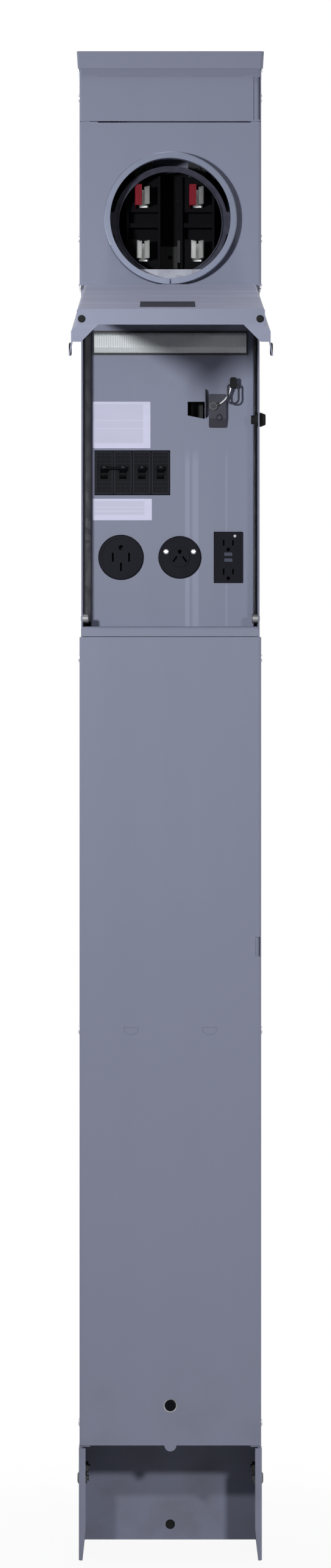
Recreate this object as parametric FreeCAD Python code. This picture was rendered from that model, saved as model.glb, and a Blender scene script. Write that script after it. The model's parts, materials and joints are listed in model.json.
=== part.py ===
import FreeCAD, Part
import math
import os
from FreeCAD import Vector

# A direct-burial power pedestal: a U-shaped steel post with a meter socket at its head, a weather
# door raised over an outlet compartment, a long lower cover and open legs that stand in the ground.
# Millimetres. +X is to the right seen from the front, +Y to the back, +Z up; the origin is the
# middle of the foot.

# Post, base and covers
POST_WIDTH = 239.0
POST_DEPTH = 147.0
POST_SHEET = 2.0
POST_BEND = 2.0
POST_FLANGE = 12.0
BASE_SHEET = 3.0
BASE_HEIGHT = 150.0
BASE_FLANGE = 9.0
BASE_FLANGE_TIP = 4.5
BASE_TAPER_HEIGHT = 42.0
BASE_BOLT_Z = 105.0
BASE_BOLT_Y = 42.0
BASE_BOLT_R = 4.0
BASE_BOLT_HEAD_R = 9.5
BASE_BOLT_HEAD = 2.4
BASE_BOLT_CROWN = 0.6
BASE_BOLT_NUT = 5.5
BASE_BOLT_TAIL = 2.5
STAKE_HOLE_R = 6.7
STAKE_HOLE_Z = 21.0
COVER_SHEET = 1.6
COVER_FIT = 0.5
COVER_BEND = 2.4
COVER_WRAP = 36.0
COVER_FOOT_GAP = 4.0
SEAM = 0.8

# Heights of the stretches of the front, from the foot upwards
LOWER_COVER_HEIGHT = 1083.0
SILL_HEIGHT = 13.4
SHELF_LIP = 14.0
COMPARTMENT_HEIGHT = 452.0
TOP_PANEL_HEIGHT = 82.0
CAP_HEADROOM = 9.4
CAP_SKIRT = 23.0
CAP_SPREAD = 3.6
CAP_DRAFT = 1.4

# Lower cover details
SCREW_R = 2.4
SCREW_HEAD_R = 5.5
SCREW_HEAD = 1.9
SCREW_FIT = 0.1
SCREW_WASHER = 0.6
SCREW_CROWN = 0.7
SCREW_TAIL = 4.0
SCREW_SETBACK = 20.0
SCREW_END = 28.0
SCREW_MIDDLE = 527.0
COVER_BOLT_RISE = 53.0
COVER_BOLT_HOLE_R = 9.2
COVER_BOLT_HEAD_R = 7.6
COVER_BOLT_R = 4.0
COVER_BOLT_LENGTH = 16.0
NUT_SHARE = 1.9
STRUT_DEPTH = 14.0
STRUT_HEIGHT = 26.0
STRUT_NUT = 7.0
COVER_TAB_R = 8.0
KNOCKOUT_RISE = 560.0
KNOCKOUT_SPREAD = 105.0
KNOCKOUT_R = 10.5
KNOCKOUT_DEPTH = 1.0
EDGE_SLOT_RISE = 655.0
EDGE_SLOT_HEIGHT = 26.0
EDGE_SLOT_WIDTH = 6.0
TOP_SLOT_HEIGHT = 57.0
TOP_SLOT_RISE = 2.0
TOP_SLOT_WIDTH = 9.5
SEAM_NOTCH = 1.2
SEAM_LEFT = 97.0
SEAM_RIGHT = 108.0
UPPER_SCREW_LOW = 70.0
UPPER_SCREW_HIGH = 48.0
CREASE_DROP = 22.0
CREASE_WIDTH = 195.0
CREASE_DEPTH = 0.5
CREASE_HEIGHT = 1.2

# Meter opening, sealing ring and socket
METER_FOOT_ROOM = 7.8
METER_HEAD_ROOM = 48.2
SOCKET_RISE = 2.5
COLLAR_R = 84.0
COLLAR_LIP = 3.0
COLLAR_STAND = 16.2
RING_LAP = 4.0
RING_SHEET = 1.3
RING_FIT = 0.2
RING_REACH = 5.0
RING_SPLIT = 2.0
CLASP_WIDTH = 22.0
CLASP_DROP = 1.2
RIM_LAP = 15.0
RIM_WIDTH = 8.0
RIM_ARM = 14.0
RIM_HEM = 3.0
RIM_SETBACK = 27.0
RIM_SHEET = 1.5
RIM_STRAP = 30.0
SUPPORT_WIDTH = 96.0
SUPPORT_DEPTH = 24.0
SUPPORT_SETBACK = 3.0
SUPPORT_LAP = 19.0
BLOCK_WIDTH = 46.0
BLOCK_HEIGHT = 132.0
BLOCK_DEPTH = 54.0
BLOCK_BARRIER = 3.0
BARRIER_STAND = 10.0
MIDDLE_STAND = 4.0
WAIST_DEPTH = 16.0
WAIST_ROOM = 6.0
BRACKET_STAND = 21.5
BRACKET_FOOT = 14.0
BRACKET_EDGE = 4.0
BRACKET_END = 14.0
JAW_SPREAD_X = 73.0
JAW_SPREAD_Z = 73.0
JAW_HEIGHT = 24.0
JAW_LENGTH = 38.0
JAW_SHEET = 1.6
JAW_THROAT = 2.2
JAW_FLARE = 6.0
JAW_BELLY = 4.5
JAW_BEND = 0.8
JAW_MOUTH_DEPTH = 9.0
JAW_NECK_DEPTH = 20.0
GUARD_SHEET = 1.4
GUARD_HEIGHT = 28.0
GUARD_WIDTH = 8.0
GUARD_ROOM = 7.0
GUARD_STAND = 1.0
LUG_SIZE = 24.0
LUG_BORE_R = 7.0
LUG_SCREW_R = 4.5
LUG_SCREW_STAND = 5.0
LUG_SOCKET_R = 2.6
BUS_WIDTH = 16.0
BUS_SHEET = 3.0
BUS_LAP = 28.0
BUS_ROOM = 3.0
BUS_HOLE_R = 3.5
BUS_HOLE_RISE = 10.0
NEUTRAL_X = 13.2
NEUTRAL_WIDTH = 3.5
NEUTRAL_HEIGHT = 30.0
NEUTRAL_STAND = 12.0
NEUTRAL_HOLE_R = 3.0

# Outlet panel and what it carries
PANEL_SETBACK = 55.0
PANEL_LEFT_GAP = 10.0
PANEL_RIGHT_GAP = 4.4
PANEL_RETURN = 28.0
PANEL_BEND = 1.0
PANEL_BRACKET_LAP = 4.0
PANEL_BRACKET_DEPTH = 20.0
PANEL_BRACKET_END = 10.0
PANEL_TOP_GAP = 8.0
DEVICE_FIT = 0.4
DEVICE_STAND = 4.0
DEVICE_SHOULDER = 2.4
RECEPTACLE_RISE = 95.5
RECEPTACLE_50_X = -66.7
RECEPTACLE_50_R = 30.3
RECEPTACLE_30_X = 12.8
RECEPTACLE_30_R = 28.6
RECEPTACLE_DEPTH = 34.0
RECEPTACLE_FLANGE = 8.0
SLOT_DEPTH = 14.0
RECESS_50_EDGE = 4.5
RECESS_50 = 1.2
SLOT_50_X = 11.0
SLOT_50_Z = 13.0
SLOT_50_WIDTH = 2.6
SLOT_50_HEIGHT = 12.0
SLOT_50_NEUTRAL = 11.0
GROUND_50_R = 3.4
RECESS_30_EDGE = 3.2
RECESS_30 = 1.0
HUB_30_R = 13.5
HUB_30_STAND = 0.4
SLOT_30_X = 6.5
SLOT_30_DROP = 2.5
SLOT_30_WIDTH = 2.4
SLOT_30_HEIGHT = 9.0
SLOT_30_TURN = 35.0
GROUND_30_RISE = 7.5
GROUND_30_R = 2.9
RECEPTACLE_SCREW_X = 18.6
RECEPTACLE_SCREW_Z = 7.6
RECEPTACLE_SCREW_R = 3.6
RECEPTACLE_SCREW_LENGTH = 10.0
GFCI_X = 78.3
GFCI_WIDTH = 38.4
GFCI_HEIGHT = 68.8
GFCI_DEPTH = 30.0
GFCI_FLANGE = 3.0
GFCI_CASE_END = 4.0
GFCI_CORNER = 1.5
GFCI_OUTLET_Z = 19.5
GFCI_SLOT_X = 6.3
GFCI_SLOT_WIDTH = 2.2
GFCI_SLOT_LONG = 8.2
GFCI_SLOT_SHORT = 7.0
GFCI_GROUND_DROP = 9.0
GFCI_GROUND_R = 2.5
GFCI_SLOT_DEPTH = 12.0
BUTTON_WIDTH = 11.0
BUTTON_HEIGHT = 5.0
BUTTON_GAP = 3.0
BUTTON_STAND = 1.6
BUTTON_TRAVEL = 1.2
BUTTON_FIT = 0.3
BUTTON_SEAT = 5.0
BUTTON_CORNER = 0.7
POLE_WIDTH = 25.4
POLE_COUNT = 4
BREAKER_X = -51.3
BREAKER_RISE = 210.0
BREAKER_HEIGHT = 76.0
BREAKER_DEPTH = 50.0
BREAKER_NOSE_HEIGHT = 60.0
BREAKER_SHOULDER_GAP = 1.0
BREAKER_GAP = 0.2
BREAKER_NOSE_STAND = 1.5
BREAKER_CORNER = 1.5
RAIL_SHEET = 6.0
RAIL_EDGE = 6.0
RAIL_HEAD = 40.0
RAIL_POST_R = 6.0
RAIL_POST_EDGE = 10.0
RAIL_POST_END = 12.0
HANDLE_WIDTH = 9.0
HANDLE_DRUM_R = 8.0
HANDLE_FIT = 0.4
HANDLE_REACH = 13.0
HANDLE_THICKNESS = 6.0
HANDLE_TILT = 18.0
HANDLE_PROUD = 1.0
HANDLE_ROUND = 1.5
TIE_R = 1.8
TIE_SETBACK = 3.0
LABEL_SHEET = 0.3
LABEL_CORNER = 1.0
UPPER_LABEL_WIDTH = 78.0
UPPER_LABEL_HEIGHT = 63.0
LOWER_LABEL_WIDTH = 80.0
LOWER_LABEL_HEIGHT = 29.0
LABEL_GAP = 2.8
LOWER_LABEL_GAP = 4.8
LENS_RISE = 371.0
LENS_HEIGHT = 29.0
LENS_WIDTH = 206.0
LENS_STAND = 11.0
LENS_FIT = 0.4
LENS_DROP = 7.0
LENS_SLOPE = 4.0
LENS_ROUND = 3.0
LAMP_TRAY = 1.8
TRAY_STAND = 4.0
TRAY_SHEET = 1.5
EYE_Z_RISE = 279.0
EYE_SETBACK = 25.0
EYE_R = 9.5
EYE_TIP_R = 7.0
EYE_STAND = 8.5
EYE_SHANK_R = 6.0
EYE_FLANGE = 2.5
EYE_RIM = 2.0
EYE_WELL = 1.5
EYE_TAIL = 9.0
EYE_NUT = 4.0

# Hasp on the panel
HASP_X = 57.8
HASP_RISE = 299.0
HASP_WIDTH = 23.0
HASP_HEIGHT = 44.8
HASP_LEFT = 5.7
HASP_DROP = 28.1
HASP_STAND = 10.0
HASP_CORNER = 2.0
HASP_SLANT_HEIGHT = 12.0
HASP_SLANT_DEPTH = 4.5
RIVET_X = 8.8
RIVET_Z = 14.9
RIVET_R = 4.2
RIVET_TOP_R = 3.2
RIVET_STAND = 1.2
WINDOW_GAP = 5.5
WINDOW_WIDTH = 23.2
WINDOW_RISE = 7.2
WINDOW_HEIGHT = 23.4
WINDOW_SLANT = 4.8
KEEPER_WIDTH = 1.6
KEEPER_GAP = 0.8
KEEPER_HEIGHT = 39.0
KEEPER_DROP = 15.0
KEEPER_STAND = 9.0
KEEPER_ROUND = 3.0
LEVER_R = 1.9
LEVER_TIP_X = 26.0
LEVER_TIP_Z = 33.0
LEVER_PIN_R = 3.0
LEVER_EYE = 2.6
LEVER_GAP = 0.3
LEVER_BOW_X = 5.0
LEVER_BOW_Z = 4.0
PIN_PROUD = 1.5
TIP_LENGTH = 14.0
TIP_WIDTH = 9.0
TIP_DEPTH = 7.0
TIP_BACK = 3.0
TIP_DROP = 3.5
TIP_SHIFT = 1.0
TIP_FOOT_ROUND = 2.0
TIP_HEAD_ROUND = 3.0
BAIL_WIDTH = 17.0
BAIL_HEIGHT = 27.5
BAIL_DROP = 5.0
BAIL_R = 1.3
BAIL_FIT = 0.5
BAIL_GAP = 0.8
BAIL_CORNER = 2.2

# Door
DOOR_WIDTH = 229.0
DOOR_SHEET = 1.6
DOOR_PROUD = 42.0
DOOR_WALL = 20.0
DOOR_SKIRT = 40.0
DOOR_SHOULDER = 7.0
DOOR_LIP = 19.0
DOOR_EAR = 26.0
DOOR_TAB = 57.0
DOOR_TAB_HEIGHT = 30.0
DOOR_TAB_FLARE = 3.0
DOOR_BEND = 2.2
DOOR_FLOOR_GAP = 1.2
DOOR_OPEN = 79.0
EAR_HOLE_R = 3.4
EAR_HOLE_EDGE = 5.9
EAR_HOLE_DEPTH = 12.0
STUD_HOLE_R = 3.4
STUD_HOLE_DEPTH = 49.0
STUD_HOLE_RISE = 12.0
STUD_R = 3.0
STUD_NUT_R = 6.4
STUD_NUT = 8.0
STUD_PROUD = 0.3
KNUCKLE_R = 3.2
KNUCKLE_COUNT = 5
KNUCKLE_GAP = 0.6
PIN_R = 1.6
PIN_FIT = 0.05
LEAF_SHEET = 1.2
LEAF_WIDTH = 14.0
SWING_GAP = 0.5

# Grounding, and how far a cut runs past the face that it opens
PAST = 1.0
GROUND_BAR_LENGTH = 90.0
GROUND_BAR_SIZE = 12.0
GROUND_BAR_Z = 330.0
GROUND_STAND = 4.0
GROUND_FOOT_R = 4.0
GROUND_FOOT_END = 8.0
GROUND_SCREW_R = 2.6
GROUND_SCREW_STAND = 3.0
GROUND_SCREW_END = 16.0
GROUND_SCREW_COUNT = 6

# Places worked out from the sizes above
POST_HALF = POST_WIDTH / 2
WALL_IN = POST_HALF - POST_SHEET
FRONT = -POST_DEPTH / 2
BACK = POST_DEPTH / 2
BACK_IN = BACK - POST_SHEET
COVER_FACE = FRONT - COVER_SHEET
COVER_IN = POST_HALF + COVER_FIT
COVER_HALF = COVER_IN + COVER_SHEET
COVER_FOOT = BASE_HEIGHT + COVER_FOOT_GAP
COVER_TOP = COVER_FOOT + LOWER_COVER_HEIGHT
SILL_FOOT = COVER_TOP + SEAM
FLOOR = SILL_FOOT + SILL_HEIGHT
SHELF = FLOOR + COMPARTMENT_HEIGHT
METER_Z = SHELF + METER_FOOT_ROOM + COLLAR_R
METER_COVER_TOP = METER_Z + COLLAR_R + METER_HEAD_ROOM
SOCKET_Z = METER_Z + SOCKET_RISE
TOP_PANEL_FOOT = METER_COVER_TOP + SEAM
TOP_PANEL_TOP = TOP_PANEL_FOOT + TOP_PANEL_HEIGHT
POST_TOP = TOP_PANEL_TOP + CAP_HEADROOM
CAP_TOP = POST_TOP + COVER_SHEET
COLLAR_TIP = COVER_FACE - COLLAR_STAND
RIM_R = COLLAR_R - RIM_LAP
BRACKET_FACE = BACK_IN - BRACKET_STAND
BLOCK_FACE = BRACKET_FACE - COVER_SHEET - BLOCK_DEPTH
PANEL_FACE = COVER_FACE + PANEL_SETBACK
PANEL_BACK = PANEL_FACE + COVER_SHEET
PANEL_LEFT = PANEL_LEFT_GAP - WALL_IN
PANEL_RIGHT = WALL_IN - PANEL_RIGHT_GAP
PANEL_TOP = SHELF - PANEL_TOP_GAP
DEVICE_FACE = PANEL_FACE - DEVICE_STAND
RECEPTACLE_Z = FLOOR + RECEPTACLE_RISE
BREAKER_Z = FLOOR + BREAKER_RISE
BREAKER_ROW = POLE_WIDTH * POLE_COUNT
BREAKER_BACK = PANEL_BACK + BREAKER_SHOULDER_GAP + BREAKER_DEPTH
BREAKER_NOSE = PANEL_FACE - BREAKER_NOSE_STAND
HANDLE_Y = PANEL_FACE + HANDLE_DRUM_R - HANDLE_PROUD
LENS_Z = FLOOR + LENS_RISE
EYE_Z = FLOOR + EYE_Z_RISE
EYE_Y = COVER_FACE + EYE_SETBACK
HASP_Z = FLOOR + HASP_RISE
HASP_FOOT = HASP_Z - HASP_DROP
HASP_EDGE = HASP_X - HASP_LEFT
WINDOW_EDGE = HASP_EDGE - WINDOW_GAP
LEVER_Y = PANEL_FACE - HASP_STAND - LEVER_R - LEVER_GAP
BAIL_X = HASP_X + LEVER_TIP_X + TIP_SHIFT
BAIL_Z = HASP_Z + LEVER_TIP_Z - BAIL_DROP
BAIL_Y = LEVER_Y - LEVER_R - BAIL_R - BAIL_GAP
DOOR_FACE = COVER_FACE - DOOR_PROUD
DOOR_HALF = DOOR_WIDTH / 2
HINGE_Y = DOOR_FACE + DOOR_SHEET + KNUCKLE_R
HINGE_Z = SHELF - KNUCKLE_R
DOOR_FOOT = FLOOR - DOOR_FLOOR_GAP
DOOR_HEAD = HINGE_Z - KNUCKLE_R - SWING_GAP
STUD_Y = DOOR_FACE + STUD_HOLE_DEPTH
STUD_Z = DOOR_FOOT + STUD_HOLE_RISE
LEAF_REACH = DOOR_HALF - DOOR_SHEET - DOOR_BEND

OUT = "parts"
AXIS = {"x": Vector(1, 0, 0), "y": Vector(0, 1, 0), "z": Vector(0, 0, 1)}


# Shapes that every piece is made with

def spot(axis, u, v, level):
    """A point of the plane square to an axis: z holds (x, y), y holds (x, z), x holds (y, z)."""
    if axis == "z":
        return Vector(u, v, level)
    if axis == "y":
        return Vector(u, level, v)
    return Vector(level, u, v)


def outline(axis, corners, level):
    """A closed face whose corners are (u, v), or (u, v, radius) where the corner is round."""
    points = [spot(axis, c[0], c[1], level) for c in corners]
    radii = [c[2] if len(c) > 2 else 0.0 for c in corners]
    starts, ends, arcs = [], [], []
    for i, point in enumerate(points):
        before = (points[i - 1] - point).normalize()
        after = (points[(i + 1) % len(points)] - point).normalize()
        if radii[i] <= 0:
            starts.append(point)
            ends.append(point)
            arcs.append(None)
            continue
        half_turn = (math.pi - before.getAngle(after)) / 2
        reach = radii[i] * math.tan(half_turn)
        first = point + before * reach
        last = point + after * reach
        middle_way = (before + after).normalize()
        middle = point + middle_way * (radii[i] / math.cos(half_turn) - radii[i])
        starts.append(first)
        ends.append(last)
        arcs.append(Part.Arc(first, middle, last).toShape())
    edges = []
    for i in range(len(points)):
        if arcs[i] is not None:
            edges.append(arcs[i])
        following = starts[(i + 1) % len(points)]
        if (following - ends[i]).Length > 1e-6:
            edges.append(Part.LineSegment(ends[i], following).toShape())
    return Part.Face(Part.Wire(edges))


def prism(axis, corners, low, high):
    return outline(axis, corners, low).extrude(AXIS[axis] * (high - low))


def block(x, y, z):
    """A box from its (low, high) pairs."""
    size = (x[1] - x[0], y[1] - y[0], z[1] - z[0])
    return Part.makeBox(*size, Vector(x[0], y[0], z[0]))


def rod(axis, u, v, radius, low, high):
    return Part.makeCylinder(radius, high - low, spot(axis, u, v, low), AXIS[axis])


def turned(axis, u, v, profile):
    """A turned solid about the axis through (u, v), from (radius, level[, corner radius]) points."""
    if axis == "y":
        face = outline("z", [(u + p[0], p[1]) + tuple(p[2:]) for p in profile], v)
        return face.revolve(Vector(u, 0, v), AXIS["y"], 360)
    if axis == "x":
        face = outline("z", [(p[1], u + p[0]) + tuple(p[2:]) for p in profile], v)
        return face.revolve(Vector(0, u, v), AXIS["x"], 360)
    face = outline("y", [(u + p[0], p[1]) + tuple(p[2:]) for p in profile], v)
    return face.revolve(Vector(u, v, 0), AXIS["z"], 360)


def bent_sheet(axis, path, sheet, bend, low, high):
    """Bent sheet metal: the path is its right-hand side, and the sheet lies to the left of it."""
    sides = []
    for a, b in zip(path, path[1:]):
        length = math.hypot(b[0] - a[0], b[1] - a[1])
        sides.append(((b[0] - a[0]) / length, (b[1] - a[1]) / length))
    near, far = [], []
    last = len(path) - 1
    for i, (u, v) in enumerate(path):
        if i in (0, last):
            du, dv = sides[0] if i == 0 else sides[-1]
            near.append((u, v))
            far.append((u - dv * sheet, v + du * sheet))
            continue
        (au, av), (bu, bv) = sides[i - 1], sides[i]
        cross = au * bv - av * bu
        spread = 1 + au * bu + av * bv
        offset = ((-av - bv) * sheet / spread, (au + bu) * sheet / spread)
        left_turn = cross > 0
        near.append((u, v, bend + sheet if left_turn else bend))
        far.append((u + offset[0], v + offset[1], bend if left_turn else bend + sheet))
    return prism(axis, near + far[::-1], low, high)


def joined(shapes):
    return shapes[0].multiFuse(shapes[1:]).removeSplitter()


def mirrored(shape):
    """The same shape on the other side of the middle plane."""
    return shape.mirror(Vector(0, 0, 0), AXIS["x"])


def pair(shape):
    return [shape, mirrored(shape)]


def group(shapes):
    return Part.makeCompound(shapes)


# Post, base and covers

def post_channel():
    """The U-shaped backbone, with front flanges behind the covers and none in the compartment."""
    flange = POST_HALF - POST_FLANGE
    path = [(flange, FRONT), (POST_HALF, FRONT), (POST_HALF, BACK), (-POST_HALF, BACK),
            (-POST_HALF, FRONT), (-flange, FRONT)]
    body = bent_sheet("z", path, POST_SHEET, POST_BEND, 0, POST_TOP)
    gap = (FRONT - PAST, FRONT + POST_SHEET + POST_BEND)
    reach = (-WALL_IN, WALL_IN)
    bare = [block(reach, gap, (COVER_TOP, SHELF)), block(reach, gap, (-PAST, COVER_FOOT - POST_SHEET))]
    body = body.cut(bare)
    side = POST_HALF + PAST
    holes = [rod("y", 0, STAKE_HOLE_Z, STAKE_HOLE_R, BACK_IN - PAST, BACK + PAST)]
    for y in (-BASE_BOLT_Y, BASE_BOLT_Y):
        holes.append(rod("x", y, BASE_BOLT_Z, BASE_BOLT_R, -side, side))
    for z in side_screw_levels() + upper_screw_levels():
        holes.append(rod("x", screw_y(), z, SCREW_R, -side, side))
    holes.append(rod("x", STUD_Y, STUD_Z, STUD_R, -side, side))
    holes.append(rod("x", EYE_Y, EYE_Z, EYE_SHANK_R, WALL_IN - PAST, side))
    return body.cut(holes)


def base_channel():
    """The heavier sleeve round the foot, with front flanges that narrow towards the ground."""
    half = POST_HALF + BASE_SHEET
    front = FRONT - BASE_SHEET
    inner = half - BASE_FLANGE
    path = [(inner, front), (half, front), (half, BACK + BASE_SHEET), (-half, BACK + BASE_SHEET),
            (-half, front), (-inner, front)]
    body = bent_sheet("z", path, BASE_SHEET, POST_BEND, 0, BASE_HEIGHT)
    tip = half - BASE_FLANGE_TIP
    corner = [(inner - PAST, -PAST), (tip, -PAST), (inner, BASE_TAPER_HEIGHT),
              (inner - PAST, BASE_TAPER_HEIGHT)]
    holes = pair(prism("y", corner, front - PAST, FRONT))
    holes.append(rod("y", 0, STAKE_HOLE_Z, STAKE_HOLE_R, BACK - PAST, BACK + BASE_SHEET + PAST))
    for y in (-BASE_BOLT_Y, BASE_BOLT_Y):
        holes.append(rod("x", y, BASE_BOLT_Z, BASE_BOLT_R, -half - PAST, half + PAST))
    return body.cut(holes)


def base_bolts():
    """Carriage bolts that hold the sleeve to the post, with their nuts inside."""
    seat = POST_HALF + BASE_SHEET
    bolts = []
    for y in (-BASE_BOLT_Y, BASE_BOLT_Y):
        top = seat + BASE_BOLT_HEAD
        end = WALL_IN - BASE_BOLT_NUT - BASE_BOLT_TAIL
        profile = [(0, end), (BASE_BOLT_R, end), (BASE_BOLT_R, seat), (BASE_BOLT_HEAD_R, seat),
                   (BASE_BOLT_HEAD_R * BASE_BOLT_CROWN, top), (0, top)]
        bolt = turned("x", y, BASE_BOLT_Z, profile)
        nut = hex_solid("x", y, BASE_BOLT_Z, BASE_BOLT_R * NUT_SHARE, WALL_IN - BASE_BOLT_NUT, WALL_IN)
        bolts += pair(joined([bolt, nut]))
    return group(bolts)


def hex_solid(axis, u, v, radius, low, high):
    """A hexagon bar along an axis, its radius taken to the corners."""
    corners = []
    for i in range(6):
        angle = math.radians(60 * i + 30)
        corners.append((u + radius * math.cos(angle), v + radius * math.sin(angle)))
    return prism(axis, corners, low, high)


def wrap_cover(low, high):
    """A front cover that wraps round both sides of the post."""
    edge = COVER_FACE + COVER_WRAP
    path = [(-COVER_HALF, edge), (-COVER_HALF, COVER_FACE), (COVER_HALF, COVER_FACE),
            (COVER_HALF, edge)]
    return bent_sheet("z", path, COVER_SHEET, COVER_BEND, low, high)


def side_screw_levels():
    return [COVER_FOOT + SCREW_END, COVER_FOOT + SCREW_END + SCREW_MIDDLE, COVER_TOP - SCREW_END]


def upper_screw_levels():
    return [SHELF + UPPER_SCREW_LOW, TOP_PANEL_TOP - UPPER_SCREW_HIGH]


def screw_y():
    return COVER_FACE + SCREW_SETBACK


def lower_cover():
    body = wrap_cover(COVER_FOOT, COVER_TOP)
    tab = rod("y", 0, COVER_FOOT, COVER_TAB_R, COVER_FACE, FRONT)
    tab = tab.common(block((-COVER_TAB_R, COVER_TAB_R), (COVER_FACE, FRONT), (0, COVER_FOOT)))
    body = joined([body, tab])
    bolt_z = COVER_FOOT + COVER_BOLT_RISE
    holes = [rod("y", 0, bolt_z, COVER_BOLT_HOLE_R, COVER_FACE - PAST, FRONT + PAST)]
    side = COVER_HALF + PAST
    for z in side_screw_levels():
        holes.append(rod("x", screw_y(), z, SCREW_R, -side, side))
    slot_low = COVER_FOOT + EDGE_SLOT_RISE
    edge = COVER_HALF - COVER_SHEET
    holes.append(block((edge - EDGE_SLOT_WIDTH, edge), (COVER_FACE - PAST, FRONT + COVER_BEND),
                       (slot_low, slot_low + EDGE_SLOT_HEIGHT)))
    body = body.cut(holes)
    return joined([body.cut(knockouts(-1)), knockouts(1)])


def knockouts(side):
    """Two half-round dimples: the hollow in front (-1) and the swell that it leaves behind (1)."""
    z = COVER_FOOT + KNOCKOUT_RISE
    shapes = []
    for x in (-KNOCKOUT_SPREAD / 2, KNOCKOUT_SPREAD / 2):
        inset = KNOCKOUT_DEPTH
        if side < 0:
            profile = [(0, COVER_FACE - PAST), (KNOCKOUT_R + PAST, COVER_FACE - PAST),
                       (KNOCKOUT_R - inset, COVER_FACE + inset), (0, COVER_FACE + inset)]
        else:
            profile = [(0, FRONT), (KNOCKOUT_R, FRONT), (KNOCKOUT_R - inset, FRONT + inset),
                       (0, FRONT + inset)]
        dimple = turned("y", x, z, profile)
        reach = 2 * KNOCKOUT_R
        lower = block((x - reach, x + reach), (COVER_FACE - reach, FRONT + reach), (z - reach, z))
        shapes.append(dimple.common(lower))
    return group(shapes)


def cover_screws(levels):
    """Washer head screws through a cover's two sides into the post."""
    screws = []
    for z in levels:
        head = COVER_HALF + SCREW_HEAD
        end = WALL_IN - SCREW_TAIL
        shank = SCREW_R - SCREW_FIT
        profile = [(0, end), (shank, end), (shank, COVER_HALF), (SCREW_HEAD_R, COVER_HALF),
                   (SCREW_HEAD_R, COVER_HALF + SCREW_WASHER), (SCREW_HEAD_R * SCREW_CROWN, head), (0, head)]
        screws += pair(turned("x", screw_y(), z, profile))
    return group(screws)


def cover_bolt():
    """The bolt that locks the lower cover, sunk in its round hole."""
    z = COVER_FOOT + COVER_BOLT_RISE
    strut = FRONT + POST_SHEET
    end = strut + COVER_BOLT_LENGTH
    profile = [(0, FRONT), (COVER_BOLT_HEAD_R, FRONT, POST_SHEET * 0.4), (COVER_BOLT_HEAD_R, strut),
               (COVER_BOLT_R, strut), (COVER_BOLT_R, end), (0, end)]
    bolt = turned("y", 0, z, profile)
    return bolt.cut(hex_solid("y", 0, z, COVER_BOLT_R, FRONT - PAST, FRONT + POST_SHEET * 0.7))


def cover_bracket():
    """A cross channel behind the post's flanges, with the nut for the cover bolt."""
    z = COVER_FOOT + COVER_BOLT_RISE
    y = FRONT + POST_SHEET
    low, high = z - STRUT_HEIGHT / 2, z + STRUT_HEIGHT / 2
    path = [(y + STRUT_DEPTH, high), (y, high), (y, low), (y + STRUT_DEPTH, low)]
    reach = WALL_IN - POST_BEND
    strut = bent_sheet("x", path, POST_SHEET, POST_BEND, -reach, reach)
    nut_end = y + POST_SHEET + STRUT_NUT
    nut = hex_solid("y", 0, z, COVER_BOLT_R * NUT_SHARE, y + POST_SHEET, nut_end)
    return joined([strut, nut]).cut(rod("y", 0, z, COVER_BOLT_R, y - PAST, nut_end + PAST))


def compartment_sill():
    """The floor of the outlet compartment, with a front strip above the lower cover."""
    path = [(PANEL_BACK, FLOOR), (COVER_FACE, FLOOR), (COVER_FACE, SILL_FOOT)]
    strip = bent_sheet("x", path, COVER_SHEET, COVER_BEND, -WALL_IN, WALL_IN)
    ears_top = FLOOR - COVER_BEND - COVER_SHEET
    ears = block((-POST_HALF, POST_HALF), (COVER_FACE, FRONT), (SILL_FOOT, ears_top))
    return joined([strip, ears])


def meter_floor():
    """The shelf between the meter section and the outlet compartment."""
    back = BACK_IN - POST_BEND
    foot = SHELF - SHELF_LIP
    path = [(back, foot), (back, SHELF), (FRONT, SHELF), (FRONT, foot)]
    shelf = bent_sheet("x", path, COVER_SHEET, COVER_BEND, -WALL_IN, WALL_IN)
    slots = [block(*bus_box(side, BUS_ROOM)) for side in (-1, 1)]
    return shelf.cut(slots)


def bus_box(side, room):
    """The room that a bus bar takes, from its block down to the breakers' rail, grown by a margin."""
    x = side * JAW_SPREAD_X / 2
    y = BREAKER_BACK
    low, high = BREAKER_Z + BREAKER_HEIGHT / 2 + RAIL_EDGE, SOCKET_Z - BLOCK_HEIGHT / 2 + BUS_LAP
    return ((x - BUS_WIDTH / 2 - room, x + BUS_WIDTH / 2 + room), (y - BUS_SHEET - room, y + room),
            (low - room, high + room))


def meter_cover():
    """The cover round the meter, drawn out into a collar, its foot bent forwards to carry the hinge."""
    bend = COVER_BEND + COVER_SHEET
    body = wrap_cover(SHELF + bend, METER_COVER_TOP)
    cheek = block((COVER_IN, COVER_HALF), (COVER_FACE + bend, COVER_FACE + COVER_WRAP),
                  (SHELF, SHELF + bend))
    path = [(HINGE_Y, SHELF), (FRONT, SHELF), (FRONT, SHELF + 3 * bend)]
    reach = COVER_HALF - bend
    ledge = bent_sheet("x", path, COVER_SHEET, COVER_BEND, -reach, reach)
    ends = block((-COVER_HALF, COVER_HALF), (HINGE_Y, COVER_FACE - COVER_BEND),
                 (SHELF, SHELF + COVER_SHEET))
    body = joined([body, ledge, ends] + pair(cheek))
    through = (COVER_FACE - PAST, FRONT + PAST)
    cuts = [rod("y", 0, METER_Z, COLLAR_R + COVER_BEND, *through)]
    cuts.append(block((-SEAM_LEFT, SEAM_RIGHT), through,
                      (METER_COVER_TOP - SEAM_NOTCH, METER_COVER_TOP + PAST)))
    side = COVER_HALF + PAST
    cuts.append(rod("x", screw_y(), upper_screw_levels()[0], SCREW_R, -side, side))
    return joined([body.cut(cuts), collar()])


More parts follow.
